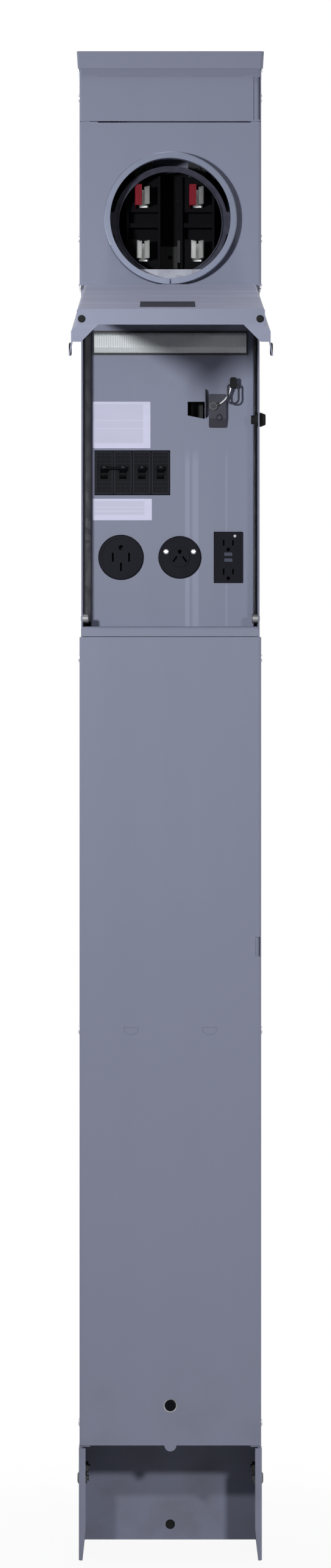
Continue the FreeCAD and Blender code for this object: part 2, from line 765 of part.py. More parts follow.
def collar():
    """The drawn collar round the meter opening, with its outward lip."""
    inner = COLLAR_R - COVER_SHEET
    lip = COLLAR_R + COLLAR_LIP
    edge = COLLAR_R + COVER_BEND + COVER_FIT
    back = COLLAR_TIP + COVER_SHEET
    profile = [(inner, FRONT), (inner, COLLAR_TIP, COVER_SHEET * 0.6), (lip, COLLAR_TIP), (lip, back),
               (COLLAR_R, back), (COLLAR_R, COVER_FACE, COVER_BEND), (edge, COVER_FACE), (edge, FRONT)]
    return turned("y", 0, METER_Z, profile)


def top_panel():
    """The fixed front above the meter cover, with a crease and a slot at its right corner."""
    body = wrap_cover(TOP_PANEL_FOOT, TOP_PANEL_TOP)
    crease_z = TOP_PANEL_TOP - CREASE_DROP
    cuts = [block((-CREASE_WIDTH / 2, CREASE_WIDTH / 2), (COVER_FACE - PAST, COVER_FACE + CREASE_DEPTH),
                  (crease_z - CREASE_HEIGHT / 2, crease_z + CREASE_HEIGHT / 2))]
    edge = COVER_HALF - COVER_SHEET / 2
    foot = TOP_PANEL_FOOT + TOP_SLOT_RISE
    cuts.append(block((edge - TOP_SLOT_WIDTH, edge), (COVER_FACE - PAST, FRONT + COVER_BEND + PAST),
                      (foot, foot + TOP_SLOT_HEIGHT)))
    side = COVER_HALF + PAST
    cuts.append(rod("x", screw_y(), upper_screw_levels()[1], SCREW_R, -side, side))
    return body.cut(cuts)


def top_cap():
    """The lid over the head of the post, its skirt drawn in a little towards the bottom."""
    half = COVER_HALF + CAP_SPREAD
    front = COVER_FACE - CAP_SPREAD
    back = BACK + CAP_SPREAD
    sections = []
    for inset in (0, COVER_SHEET):
        for level, draft in ((CAP_TOP - CAP_SKIRT, CAP_DRAFT), (CAP_TOP - inset, 0.0)):
            cut = inset + draft
            r = COVER_BEND + COVER_SHEET - inset
            corners = [(-half + cut, front + cut, r), (half - cut, front + cut, r),
                       (half - cut, back - cut, r), (-half + cut, back - cut, r)]
            sections.append(outline("z", corners, level).OuterWire)
    outer = Part.makeLoft(sections[:2], True, True)
    inner = Part.makeLoft(sections[2:], True, True)
    return outer.cut(inner)


# Meter socket

def sealing_ring():
    """A split band of U section that clasps the collar's lip."""
    lip = COLLAR_R + COLLAR_LIP
    inside = lip + RING_FIT
    outside = inside + RING_SHEET
    rear = COLLAR_TIP + COVER_SHEET
    front = COLLAR_TIP - RING_REACH - RING_SHEET
    back_lip = COLLAR_R + RING_FIT * 2
    opening = COLLAR_R - RING_LAP
    edge, shoulder = RING_SHEET * 0.45, RING_SHEET * 0.9
    profile = [(opening, front, edge), (outside, front, shoulder), (outside, rear + RING_SHEET, shoulder),
               (back_lip, rear + RING_SHEET), (back_lip, rear), (inside, rear),
               (inside, front + RING_SHEET), (opening, front + RING_SHEET, edge)]
    band = turned("y", 0, METER_Z, profile)
    foot = METER_Z - outside
    split = block((-RING_SPLIT / 2, RING_SPLIT / 2), (front - PAST, rear + RING_SHEET + PAST),
                  (foot - PAST, METER_Z))
    clasp = block((-CLASP_WIDTH / 2, CLASP_WIDTH / 2), (front + RING_SHEET, rear),
                  (foot - CLASP_DROP, foot + RING_SHEET / 2))
    return joined([band.cut(split), clasp])


def support_rim():
    """The inner ring that the meter's base meets, carried back to the rear wall by two arms."""
    y = COVER_FACE + RIM_SETBACK
    outer = RIM_R + RIM_WIDTH
    hem = y - RIM_HEM
    profile = [(RIM_R, hem), (RIM_R + RIM_SHEET, hem), (RIM_R + RIM_SHEET, y), (outer, y),
               (outer, y + RIM_SHEET), (RIM_R, y + RIM_SHEET)]
    ring = turned("y", 0, METER_Z, profile)
    side = outer + RIM_ARM
    rise = (METER_Z - RIM_STRAP / 2, METER_Z + RIM_STRAP / 2)
    arm = block((outer - RIM_SHEET, side), (y, y + RIM_SHEET), rise)
    strap = block((side - RIM_SHEET, side), (y, BACK_IN), rise)
    return joined([ring] + pair(arm) + pair(strap))


def support_bracket():
    """A small angle on the shelf, its upright closing the lowest part of the meter opening."""
    half = SUPPORT_WIDTH / 2
    face = FRONT + SUPPORT_SETBACK
    top = METER_Z - COLLAR_R + SUPPORT_LAP
    path = [(face, top), (face, SHELF), (face + SUPPORT_DEPTH, SHELF)]
    return bent_sheet("x", path, COVER_SHEET, COVER_BEND, -half, half)


def socket_bracket():
    """The hat-shaped bracket on the rear wall that carries the socket's blocks."""
    half = JAW_SPREAD_X / 2 + BLOCK_WIDTH / 2 + BRACKET_EDGE
    foot = half + BRACKET_FOOT
    path = [(foot, BACK_IN), (half, BACK_IN), (half, BRACKET_FACE), (-half, BRACKET_FACE),
            (-half, BACK_IN), (-foot, BACK_IN)]
    reach = BLOCK_HEIGHT / 2 + BRACKET_END
    return bent_sheet("z", path, COVER_SHEET, COVER_BEND, SOCKET_Z - reach, SOCKET_Z + reach)


def socket_block(side):
    """A moulded block that carries one line jaw and one load jaw, with barriers and a waist."""
    x = side * JAW_SPREAD_X / 2
    half = BLOCK_WIDTH / 2
    low, high = SOCKET_Z - BLOCK_HEIGHT / 2, SOCKET_Z + BLOCK_HEIGHT / 2
    back = BLOCK_FACE + BLOCK_DEPTH
    body = block((x - half, x + half), (BLOCK_FACE, back), (low, high))
    waist_half = JAW_SPREAD_Z / 2 - JAW_HEIGHT / 2 - WAIST_ROOM
    floor = BLOCK_FACE + WAIST_DEPTH
    waist = block((x - half - PAST, x + half + PAST), (BLOCK_FACE - PAST, floor),
                  (SOCKET_Z - waist_half, SOCKET_Z + waist_half))
    body = body.cut(waist)
    root = floor + BLOCK_BARRIER
    barriers = []
    for edge in (x - half, x + half - BLOCK_BARRIER):
        barriers.append(block((edge, edge + BLOCK_BARRIER), (BLOCK_FACE - BARRIER_STAND, root), (low, high)))
    middle = block((x - half, x + half), (BLOCK_FACE - MIDDLE_STAND, root),
                   (SOCKET_Z - BLOCK_BARRIER, SOCKET_Z + BLOCK_BARRIER))
    body = joined([body, middle] + barriers)
    return body.cut(block(*bus_box(side, BUS_ROOM - PAST)))


def jaw(x, z):
    """A spring jaw bent from one strip: flared mouth, throat, hollow body and flat foot."""
    tip = BLOCK_FACE - JAW_LENGTH
    throat = JAW_THROAT / 2
    half = [(throat + JAW_FLARE, tip), (throat, tip + JAW_MOUTH_DEPTH),
            (throat + JAW_BELLY, tip + JAW_NECK_DEPTH), (throat + JAW_BELLY, BLOCK_FACE - JAW_SHEET)]
    path = [(x - u, v) for u, v in half] + [(x + u, v) for u, v in half[::-1]]
    return bent_sheet("z", path, JAW_SHEET, JAW_BEND, z - JAW_HEIGHT / 2, z + JAW_HEIGHT / 2)


def line_guards():
    """Red insulating guards over the left blade of each line jaw."""
    tip = BLOCK_FACE - JAW_LENGTH
    z = SOCKET_Z + JAW_SPREAD_Z / 2
    front = tip - GUARD_STAND
    guards = []
    for side in (-1, 1):
        x = side * JAW_SPREAD_X / 2 - JAW_THROAT / 2 - JAW_SHEET - GUARD_ROOM
        path = [(x + GUARD_WIDTH, front), (x, front), (x, BLOCK_FACE)]
        guards.append(bent_sheet("z", path, GUARD_SHEET, GUARD_SHEET / 3,
                                 z - GUARD_HEIGHT / 2, z + GUARD_HEIGHT / 2))
    return group(guards)


def lugs(level, way):
    """Wire lugs at the ends of the blocks: bored blocks, each with its set screw."""
    shapes = []
    y = BLOCK_FACE + BLOCK_DEPTH / 2
    low, high = sorted((level, level + way * LUG_SIZE))
    for side in (-1, 1):
        x = side * JAW_SPREAD_X / 2
        half = LUG_SIZE / 2
        body = block((x - half, x + half), (y - half, y + half), (low, high))
        body = body.cut(rod("z", x, y, LUG_BORE_R, low - PAST, high + PAST))
        middle = (low + high) / 2
        head = y - half - LUG_SCREW_STAND
        screw = rod("y", x, middle, LUG_SCREW_R, head, y - LUG_BORE_R + PAST)
        socket = hex_solid("y", x, middle, LUG_SOCKET_R, head - PAST, head + LUG_SCREW_R)
        shapes.append(joined([body, screw]).cut(socket))
    return group(shapes)


def neutral_bar():
    """The neutral strap between the blocks, its tab reaching forwards."""
    z = SOCKET_Z - JAW_SPREAD_Z / 2
    foot = BRACKET_FACE - COVER_SHEET
    half = NEUTRAL_HEIGHT / 2
    rise = (z - half, z + half)
    tab = block((NEUTRAL_X - NEUTRAL_WIDTH, NEUTRAL_X), (BLOCK_FACE - NEUTRAL_STAND, foot), rise)
    base = block((-NEUTRAL_X, NEUTRAL_X), (foot - NEUTRAL_WIDTH, foot), rise)
    hole = rod("y", 0, z, NEUTRAL_HOLE_R, foot - NEUTRAL_WIDTH - PAST, foot + PAST)
    return joined([tab, base]).cut(hole)


def bus_bar(side):
    """A bar from the load jaw's block down through the shelf to the breakers' rail."""
    x, y, z = bus_box(side, 0)
    bar = block(x, y, z)
    middle = (x[0] + x[1]) / 2
    return bar.cut(rod("y", middle, z[0] + BUS_HOLE_RISE, BUS_HOLE_R, y[0] - PAST, y[1] + PAST))


# Outlet panel and what it carries

def outlet_panel():
    """The dead front: a pan with bent sides, cut for the devices, the breakers and the hasp window."""
    edge = PANEL_FACE + PANEL_RETURN
    path = [(PANEL_LEFT, edge), (PANEL_LEFT, PANEL_FACE), (PANEL_RIGHT, PANEL_FACE), (PANEL_RIGHT, edge)]
    body = bent_sheet("z", path, COVER_SHEET, PANEL_BEND, FLOOR, PANEL_TOP)
    through = (PANEL_FACE - PAST, PANEL_BACK + PAST)
    cuts = []
    for x, r in ((RECEPTACLE_50_X, RECEPTACLE_50_R), (RECEPTACLE_30_X, RECEPTACLE_30_R)):
        cuts.append(rod("y", x, RECEPTACLE_Z, r + DEVICE_FIT, *through))
    for x, z, width, height in ((GFCI_X, RECEPTACLE_Z, GFCI_WIDTH, GFCI_HEIGHT),
                                (BREAKER_X, BREAKER_Z, BREAKER_ROW, BREAKER_NOSE_HEIGHT)):
        half_w, half_h = width / 2 + DEVICE_FIT, height / 2 + DEVICE_FIT
        cuts.append(block((x - half_w, x + half_w), through, (z - half_h, z + half_h)))
    high = HASP_Z + WINDOW_RISE
    low = high - WINDOW_HEIGHT
    left = WINDOW_EDGE - WINDOW_WIDTH
    window = [(left, low + WINDOW_SLANT), (WINDOW_EDGE, low), (WINDOW_EDGE, high), (left, high)]
    cuts.append(prism("y", window, *through))
    return body.cut(cuts)


def panel_brackets():
    """Angles on the post's walls, behind the panel's bent sides."""
    y = PANEL_FACE + PANEL_RETURN
    brackets = []
    for side, gap in ((-1, PANEL_LEFT_GAP), (1, PANEL_RIGHT_GAP)):
        wall = side * WALL_IN
        lip = wall - side * (gap + PANEL_BRACKET_LAP)
        path = [(lip, y), (wall, y), (wall, y + PANEL_BRACKET_DEPTH)]
        brackets.append(bent_sheet("z", path[::side], COVER_SHEET, PANEL_BEND,
                                   FLOOR + PANEL_BRACKET_END, PANEL_TOP - PANEL_BRACKET_END))
    return group(brackets)


def breaker_base():
    """The pan and insulator that the breakers plug on to, held off the rear wall."""
    x0, x1 = BREAKER_X - BREAKER_ROW / 2, BREAKER_X + BREAKER_ROW / 2
    low, high = BREAKER_Z - BREAKER_HEIGHT / 2, BREAKER_Z + BREAKER_HEIGHT / 2
    back = BREAKER_BACK + RAIL_SHEET
    head = high + RAIL_HEAD
    rail = block((x0 - RAIL_EDGE, x1 + RAIL_EDGE), (BREAKER_BACK, back), (low, head))
    posts = []
    for x in (x0 + RAIL_POST_EDGE, x1 - RAIL_POST_EDGE):
        for z in (low + RAIL_POST_END, head - RAIL_POST_END):
            posts.append(rod("y", x, z, RAIL_POST_R, back, BACK_IN))
    end = JAW_SPREAD_X / 2 + BUS_WIDTH / 2 + BRACKET_EDGE
    bridge = block((x1 + RAIL_EDGE, end), (BREAKER_BACK, back), (high + BRACKET_EDGE, head))
    return joined([rail, bridge] + posts)


def breaker_span(first, count):
    """The low and high x of a breaker that takes some poles of the row."""
    start = BREAKER_X - BREAKER_ROW / 2 + first * POLE_WIDTH
    return start + BREAKER_GAP / 2, start + count * POLE_WIDTH - BREAKER_GAP / 2


def breaker(first, count):
    """A moulded breaker body: a nose through the panel, and a round seat for each pole's handle."""
    x0, x1 = breaker_span(first, count)
    shoulder = PANEL_BACK + BREAKER_SHOULDER_GAP
    r = BREAKER_CORNER
    half, nose_half = BREAKER_HEIGHT / 2, BREAKER_NOSE_HEIGHT / 2
    side = []
    for way in (-1, 1):
        corners = [(BREAKER_NOSE, BREAKER_Z + way * nose_half, r), (shoulder, BREAKER_Z + way * nose_half),
                   (shoulder, BREAKER_Z + way * half, r), (BREAKER_BACK, BREAKER_Z + way * half)]
        side += corners[::-way]
    body = prism("x", side, x0, x1)
    seat = HANDLE_DRUM_R + HANDLE_FIT
    cuts = []
    for pole in range(first, first + count):
        a, b = handle_span(pole)
        a, b = a - HANDLE_FIT, b + HANDLE_FIT
        cuts.append(rod("x", HANDLE_Y, BREAKER_Z, seat, a, b))
        cuts.append(block((a, b), (BREAKER_NOSE - PAST, HANDLE_Y), (BREAKER_Z - seat, BREAKER_Z + seat)))
    return body.cut(cuts)


def handle_span(pole):
    middle = BREAKER_X - BREAKER_ROW / 2 + (pole + 0.5) * POLE_WIDTH
    return middle - HANDLE_WIDTH / 2, middle + HANDLE_WIDTH / 2


def handle(first, count):
    """Breaker handles at ON, tilted up; poles that switch together share a tie bar."""
    shapes = []
    tip = HANDLE_Y - HANDLE_DRUM_R - HANDLE_REACH
    half = HANDLE_THICKNESS / 2
    tip_half = half * 0.7
    side = [(HANDLE_Y, BREAKER_Z - half), (HANDLE_Y, BREAKER_Z + half),
            (tip, BREAKER_Z + tip_half, HANDLE_ROUND), (tip, BREAKER_Z - tip_half, HANDLE_ROUND)]
    for pole in range(first, first + count):
        a, b = handle_span(pole)
        drum = rod("x", HANDLE_Y, BREAKER_Z, HANDLE_DRUM_R, a, b)
        shapes += [drum, prism("x", side, a, b)]
    if count > 1:
        a, b = handle_span(first)[0], handle_span(first + count - 1)[1]
        shapes.append(rod("x", tip + TIE_SETBACK, BREAKER_Z, TIE_R, a, b))
    whole = joined(shapes)
    whole.rotate(Vector(0, HANDLE_Y, BREAKER_Z), AXIS["x"], -HANDLE_TILT)
    return whole


def receptacle_body(x, radius):
    """A round device: a face through the panel and a wider body against the panel's back."""
    back = PANEL_BACK + RECEPTACLE_DEPTH
    wide = radius + DEVICE_SHOULDER
    flange = PANEL_BACK + RECEPTACLE_FLANGE
    profile = [(0, DEVICE_FACE), (radius, DEVICE_FACE, RECESS_50), (radius, PANEL_BACK), (wide, PANEL_BACK),
               (wide, flange), (radius, flange), (radius, back, DEVICE_SHOULDER), (0, back)]
    return turned("y", x, RECEPTACLE_Z, profile)


def slot_cut(x, z, width, height, depth, turn=0.0):
    """A blade slot cut into a device's face."""
    cut = block((x - width / 2, x + width / 2), (DEVICE_FACE - PAST, DEVICE_FACE + depth),
                (z - height / 2, z + height / 2))
    cut.rotate(Vector(x, 0, z), AXIS["y"], turn)
    return cut


def round_cut(x, z, radius, depth):
    """A round hole or a round recess in a device's face."""
    return rod("y", x, z, radius, DEVICE_FACE - PAST, DEVICE_FACE + depth)


def receptacle_50a():
    """Four-wire range style outlet: two straight slots, an upright neutral and a round-topped ground."""
    x, z = RECEPTACLE_50_X, RECEPTACLE_Z
    cuts = [round_cut(x, z, RECEPTACLE_50_R - RECESS_50_EDGE, RECESS_50)]
    for side in (-1, 1):
        cuts.append(slot_cut(x + side * SLOT_50_X, z, SLOT_50_WIDTH, SLOT_50_HEIGHT, SLOT_DEPTH))
    cuts.append(slot_cut(x, z - SLOT_50_Z, SLOT_50_WIDTH, SLOT_50_NEUTRAL, SLOT_DEPTH))
    cuts.append(round_cut(x, z + SLOT_50_Z, GROUND_50_R, SLOT_DEPTH))
    return receptacle_body(x, RECEPTACLE_50_R).cut(cuts)


def receptacle_30a():
    """Three-wire travel trailer outlet: two slanted slots and a round ground, with two screws."""
    x, z = RECEPTACLE_30_X, RECEPTACLE_Z
    recess = round_cut(x, z, RECEPTACLE_30_R - RECESS_30_EDGE, RECESS_30)
    top, root = DEVICE_FACE - HUB_30_STAND, DEVICE_FACE + 2 * RECESS_30
    hub = turned("y", x, z, [(0, top), (HUB_30_R, top, HUB_30_STAND), (HUB_30_R, root), (0, root)])
    body = joined([receptacle_body(x, RECEPTACLE_30_R).cut(recess), hub])
    cuts = [round_cut(x, z + GROUND_30_RISE, GROUND_30_R, SLOT_DEPTH)]
    for side in (-1, 1):
        cuts.append(slot_cut(x + side * SLOT_30_X, z - SLOT_30_DROP, SLOT_30_WIDTH, SLOT_30_HEIGHT,
                             SLOT_DEPTH, -side * SLOT_30_TURN))
        cuts.append(round_cut(x + side * RECEPTACLE_SCREW_X, z + RECEPTACLE_SCREW_Z, screw_shank(),
                              RECESS_30 + RECEPTACLE_SCREW_LENGTH + PAST))
    return body.cut(cuts)


def screw_shank():
    return RECEPTACLE_SCREW_R * 0.55


def receptacle_screws():
    """The two bright screws in the face of the three-wire outlet."""
    screws = []
    seat = DEVICE_FACE + RECESS_30
    r = RECEPTACLE_SCREW_R
    shank = screw_shank()
    top, end = seat - r / 2, seat + RECEPTACLE_SCREW_LENGTH
    for side in (-1, 1):
        x = RECEPTACLE_30_X + side * RECEPTACLE_SCREW_X
        z = RECEPTACLE_Z + RECEPTACLE_SCREW_Z
        profile = [(0, top), (r * 0.6, top), (r, seat - r / 5), (r, seat), (shank, seat), (shank, end),
                   (0, end)]
        screw = turned("y", x, z, profile)
        slot = block((x - r, x + r), (top - PAST, seat - r / 3), (z - r / 7, z + r / 7))
        screws.append(screw.cut(slot))
    return group(screws)


def gfci_button_centre(row):
    return RECEPTACLE_Z + row * (BUTTON_HEIGHT + BUTTON_GAP) / 2


def gfci_body():
    """The ground-fault duplex outlet: a moulded face with two outlets and wells for its buttons."""
    half_w, half_h = GFCI_WIDTH / 2, GFCI_HEIGHT / 2
    x, z = GFCI_X, RECEPTACLE_Z
    face = prism("y", plate_corners(x - half_w, z - half_h, GFCI_WIDTH, GFCI_HEIGHT, GFCI_CORNER),
                 DEVICE_FACE, PANEL_BACK)
    grow = DEVICE_SHOULDER
    flange = PANEL_BACK + GFCI_FLANGE
    body = block((x - half_w - grow, x + half_w + grow), (PANEL_BACK, flange),
                 (z - half_h - grow, z + half_h + grow))
    case = block((x - half_w, x + half_w), (flange, PANEL_BACK + GFCI_DEPTH),
                 (z - half_h + GFCI_CASE_END, z + half_h - GFCI_CASE_END))
    cuts = []
    for row in (-1, 1):
        cuts += duplex_slots(x, z + row * GFCI_OUTLET_Z)
        centre = gfci_button_centre(row)
        w, h = BUTTON_WIDTH / 2 + BUTTON_FIT, BUTTON_HEIGHT / 2 + BUTTON_FIT
        well = DEVICE_FACE + BUTTON_SEAT + BUTTON_TRAVEL + BUTTON_FIT
        cuts.append(block((x - w, x + w), (DEVICE_FACE - PAST, well), (centre - h, centre + h)))
    return joined([face, body, case]).cut(cuts)


def duplex_slots(x, z):
    """The two blade slots and the ground hole of one half of the duplex outlet."""
    return [slot_cut(x - GFCI_SLOT_X, z, GFCI_SLOT_WIDTH, GFCI_SLOT_LONG, GFCI_SLOT_DEPTH),
            slot_cut(x + GFCI_SLOT_X, z, GFCI_SLOT_WIDTH, GFCI_SLOT_SHORT, GFCI_SLOT_DEPTH),
            round_cut(x, z - GFCI_GROUND_DROP, GFCI_GROUND_R, GFCI_SLOT_DEPTH)]


def gfci_button(row):
    """The test button (row 1) or the reset button (row -1)."""
    z = gfci_button_centre(row)
    w, h, r = BUTTON_WIDTH / 2, BUTTON_HEIGHT / 2, BUTTON_CORNER
    front, seat = DEVICE_FACE - BUTTON_STAND, DEVICE_FACE + BUTTON_SEAT
    side = [(front, z - h, r), (front, z + h, r), (seat, z + h), (seat, z - h)]
    return prism("x", side, GFCI_X - w, GFCI_X + w)


def plate_corners(left, low, width, height, r):
    """The corners of an upright plate with four equal round corners."""
    right, high = left + width, low + height
    return [(left, low, r), (right, low, r), (right, high, r), (left, high, r)]


def label(left, low, width, height):
    """A bare label plate on the panel's face."""
    corners = plate_corners(left, low, width, height, LABEL_CORNER)
    return prism("y", corners, PANEL_FACE - LABEL_SHEET, PANEL_FACE)


def label_left():
    """The left edge of the labels and the lamp, a little outside the row of breakers."""
    return BREAKER_X - BREAKER_ROW / 2 - LABEL_GAP


def upper_label():
    low = BREAKER_Z + BREAKER_NOSE_HEIGHT / 2 + DEVICE_FIT + LABEL_GAP
    return label(label_left(), low, UPPER_LABEL_WIDTH, UPPER_LABEL_HEIGHT)


def lower_label():
    high = BREAKER_Z - BREAKER_NOSE_HEIGHT / 2 - DEVICE_FIT - LOWER_LABEL_GAP
    return label(label_left(), high - LOWER_LABEL_HEIGHT, LOWER_LABEL_WIDTH, LOWER_LABEL_HEIGHT)


def light_housing():
    """The shallow tray of the night light, on the panel under the hood."""
    x0 = label_left() + LAMP_TRAY
    x1 = x0 + LENS_WIDTH
    top = LENS_Z + LENS_HEIGHT
    rim = PANEL_FACE - TRAY_STAND
    tray = block((x0 - LAMP_TRAY, x1 + LAMP_TRAY), (rim, PANEL_FACE), (LENS_Z - LAMP_TRAY, top + LAMP_TRAY))
    room = block((x0, x1), (rim - PAST, PANEL_FACE - TRAY_SHEET), (LENS_Z, top))
    return tray.cut(room)


def light_lens():
    """The night light's bowed lens strip, seated in its tray."""
    x0 = label_left() + LAMP_TRAY + LENS_FIT
    x1 = x0 + LENS_WIDTH - 2 * LENS_FIT
    low, high = LENS_Z + LENS_FIT, LENS_Z + LENS_HEIGHT - LENS_FIT
    seat = PANEL_FACE - TRAY_SHEET
    front = PANEL_FACE - LENS_STAND
    side = [(seat, low), (front + LENS_ROUND, low, LENS_ROUND), (front, low + LENS_DROP, 2 * LENS_ROUND),
            (front, high - LENS_SLOPE, LENS_ROUND), (seat, high)]
    return prism("x", side, x0, x1)


def photocell_eye():
    """The night light's photocell on the right wall: a black bezel with a threaded shank."""
    tail, front = WALL_IN - EYE_TAIL, POST_HALF + EYE_STAND
    shank, well_r = EYE_SHANK_R - SCREW_FIT, EYE_TIP_R - EYE_RIM
    well = front - EYE_WELL
    profile = [(0, tail), (shank, tail), (shank, POST_HALF), (EYE_R, POST_HALF),
               (EYE_R, POST_HALF + EYE_FLANGE, EYE_RIM / 3), (EYE_TIP_R, front, EYE_RIM / 3),
               (well_r, front), (well_r, well), (0, well)]
    return turned("x", EYE_Y, EYE_Z, profile)


def photocell_nut():
    """The nut that holds the photocell from inside."""
    nut = hex_solid("x", EYE_Y, EYE_Z, EYE_SHANK_R + EYE_NUT, WALL_IN - EYE_NUT, WALL_IN)
    return nut.cut(rod("x", EYE_Y, EYE_Z, EYE_SHANK_R, WALL_IN - EYE_NUT - PAST, WALL_IN + PAST))


# Hasp on the panel

def hasp_base():
    """The hasp's block: a riveted body with the lever's pin standing out of it."""
    front = PANEL_FACE - HASP_STAND
    right = HASP_EDGE + HASP_WIDTH
    body = prism("y", plate_corners(HASP_EDGE, HASP_FOOT, HASP_WIDTH, HASP_HEIGHT, HASP_CORNER),
                 front, PANEL_FACE)
    wedge = [(front - PAST, HASP_FOOT + HASP_SLANT_HEIGHT), (front, HASP_FOOT + HASP_SLANT_HEIGHT),
             (front + HASP_SLANT_DEPTH, HASP_FOOT - PAST), (front - PAST, HASP_FOOT - PAST)]
    body = body.cut(prism("x", wedge, HASP_EDGE - PAST, right + PAST))
    top, root = front - RIVET_STAND, front + RIVET_STAND
    profile = [(0, top), (RIVET_TOP_R, top, RIVET_STAND * 0.8), (RIVET_R, front), (RIVET_R, root),
               (0, root)]
    rivet = turned("y", right - RIVET_X, HASP_Z - RIVET_Z, profile)
    pin = rod("y", HASP_X, HASP_Z, LEVER_PIN_R, LEVER_Y - LEVER_R - PIN_PROUD, front)
    return joined([body, rivet, pin])


def hasp_keeper():
    """The bent tab beside the window that the hasp's lever locks against."""
    left = WINDOW_EDGE + KEEPER_GAP
    low = HASP_Z - KEEPER_DROP
    front = PANEL_FACE - KEEPER_STAND
    side = [(PANEL_FACE, low), (PANEL_FACE, low + KEEPER_HEIGHT),
            (front, low + KEEPER_HEIGHT - KEEPER_ROUND, KEEPER_ROUND),
            (front, low + KEEPER_ROUND, KEEPER_ROUND)]
    return prism("x", side, left, left + KEEPER_WIDTH)


def lever_path():
    """The curve that the lever's rod follows, as three points of one arc."""
    start = Vector(HASP_X, LEVER_Y, HASP_Z)
    end = Vector(HASP_X + LEVER_TIP_X - LEVER_R, LEVER_Y, HASP_Z + LEVER_TIP_Z - 2 * LEVER_R)
    middle = (start + end) * 0.5 + Vector(LEVER_BOW_X, 0, -LEVER_BOW_Z)
    return start, middle, end


def hasp_lever():
    """The curved bright rod, its eye round the pin and a black grip moulded over its end."""
    start, middle, end = lever_path()
    arc = Part.Arc(start, middle, end)
    out = arc.tangent(arc.FirstParameter)[0]
    circle = Part.Wire(Part.Circle(start, out, LEVER_R).toShape())
    swept = Part.Wire(arc.toShape()).makePipeShell([circle], True, True)
    near, far = LEVER_Y - LEVER_R, LEVER_Y + LEVER_R
    eye = rod("y", HASP_X, HASP_Z, LEVER_PIN_R + LEVER_EYE, near, far)
    bore = rod("y", HASP_X, HASP_Z, LEVER_PIN_R + PIN_FIT, near - PAST, far + PAST)
    return joined([swept, eye]).cut([bore, grip_core()])


def grip_core():
    """The room that the grip takes, so that the rod ends inside it face to face."""
    reach = TIP_WIDTH / 2
    low = BAIL_Z - TIP_DROP
    return block((BAIL_X - reach, BAIL_X + reach), (LEVER_Y - TIP_DEPTH, LEVER_Y + TIP_BACK),
                 (low, low + TIP_LENGTH))


def hasp_grip():
    """The black grip on the lever's end, bored crossways for the bail."""
    x = BAIL_X
    low = BAIL_Z - TIP_DROP
    high = low + TIP_LENGTH
    w = TIP_WIDTH / 2
    corners = [(x - w, low, TIP_FOOT_ROUND), (x + w, low, TIP_FOOT_ROUND), (x + w, high, TIP_HEAD_ROUND),
               (x - w, high, TIP_HEAD_ROUND)]
    body = prism("y", corners, LEVER_Y - TIP_DEPTH, LEVER_Y + TIP_BACK)
    return body.cut(rod("x", BAIL_Y, BAIL_Z, BAIL_R + BAIL_FIT, x - w - PAST, x + w + PAST))


def hasp_bail():
    """The oval wire bail that hangs from the grip."""
    half = BAIL_WIDTH / 2 - BAIL_R
    drop = BAIL_HEIGHT - 2 * BAIL_R
    r = half * 0.9
    corners = [(BAIL_X - half, BAIL_Z, BAIL_CORNER), (BAIL_X + half, BAIL_Z, BAIL_CORNER),
               (BAIL_X + half, BAIL_Z - drop, r), (BAIL_X - half, BAIL_Z - drop, r)]
    shapes = []
    for edge in outline("y", corners, BAIL_Y).OuterWire.Edges:
        first = edge.valueAt(edge.FirstParameter)
        way = edge.tangentAt(edge.FirstParameter)
        ring = Part.Face(Part.Wire(Part.Circle(first, way, BAIL_R).toShape()))
        if isinstance(edge.Curve, Part.Line):
            last = edge.valueAt(edge.LastParameter)
            shapes.append(ring.extrude(last - first))
        else:
            turn = edge.Curve
            span = math.degrees(edge.LastParameter - edge.FirstParameter)
            shapes.append(ring.revolve(turn.Center, turn.Axis, span))
    return joined(shapes)


# Door

def raised(shape):
    """A door piece drawn closed, turned up to where the door stands open."""
    shape.rotate(Vector(0, HINGE_Y, HINGE_Z), AXIS["x"], -DOOR_OPEN)
    return shape


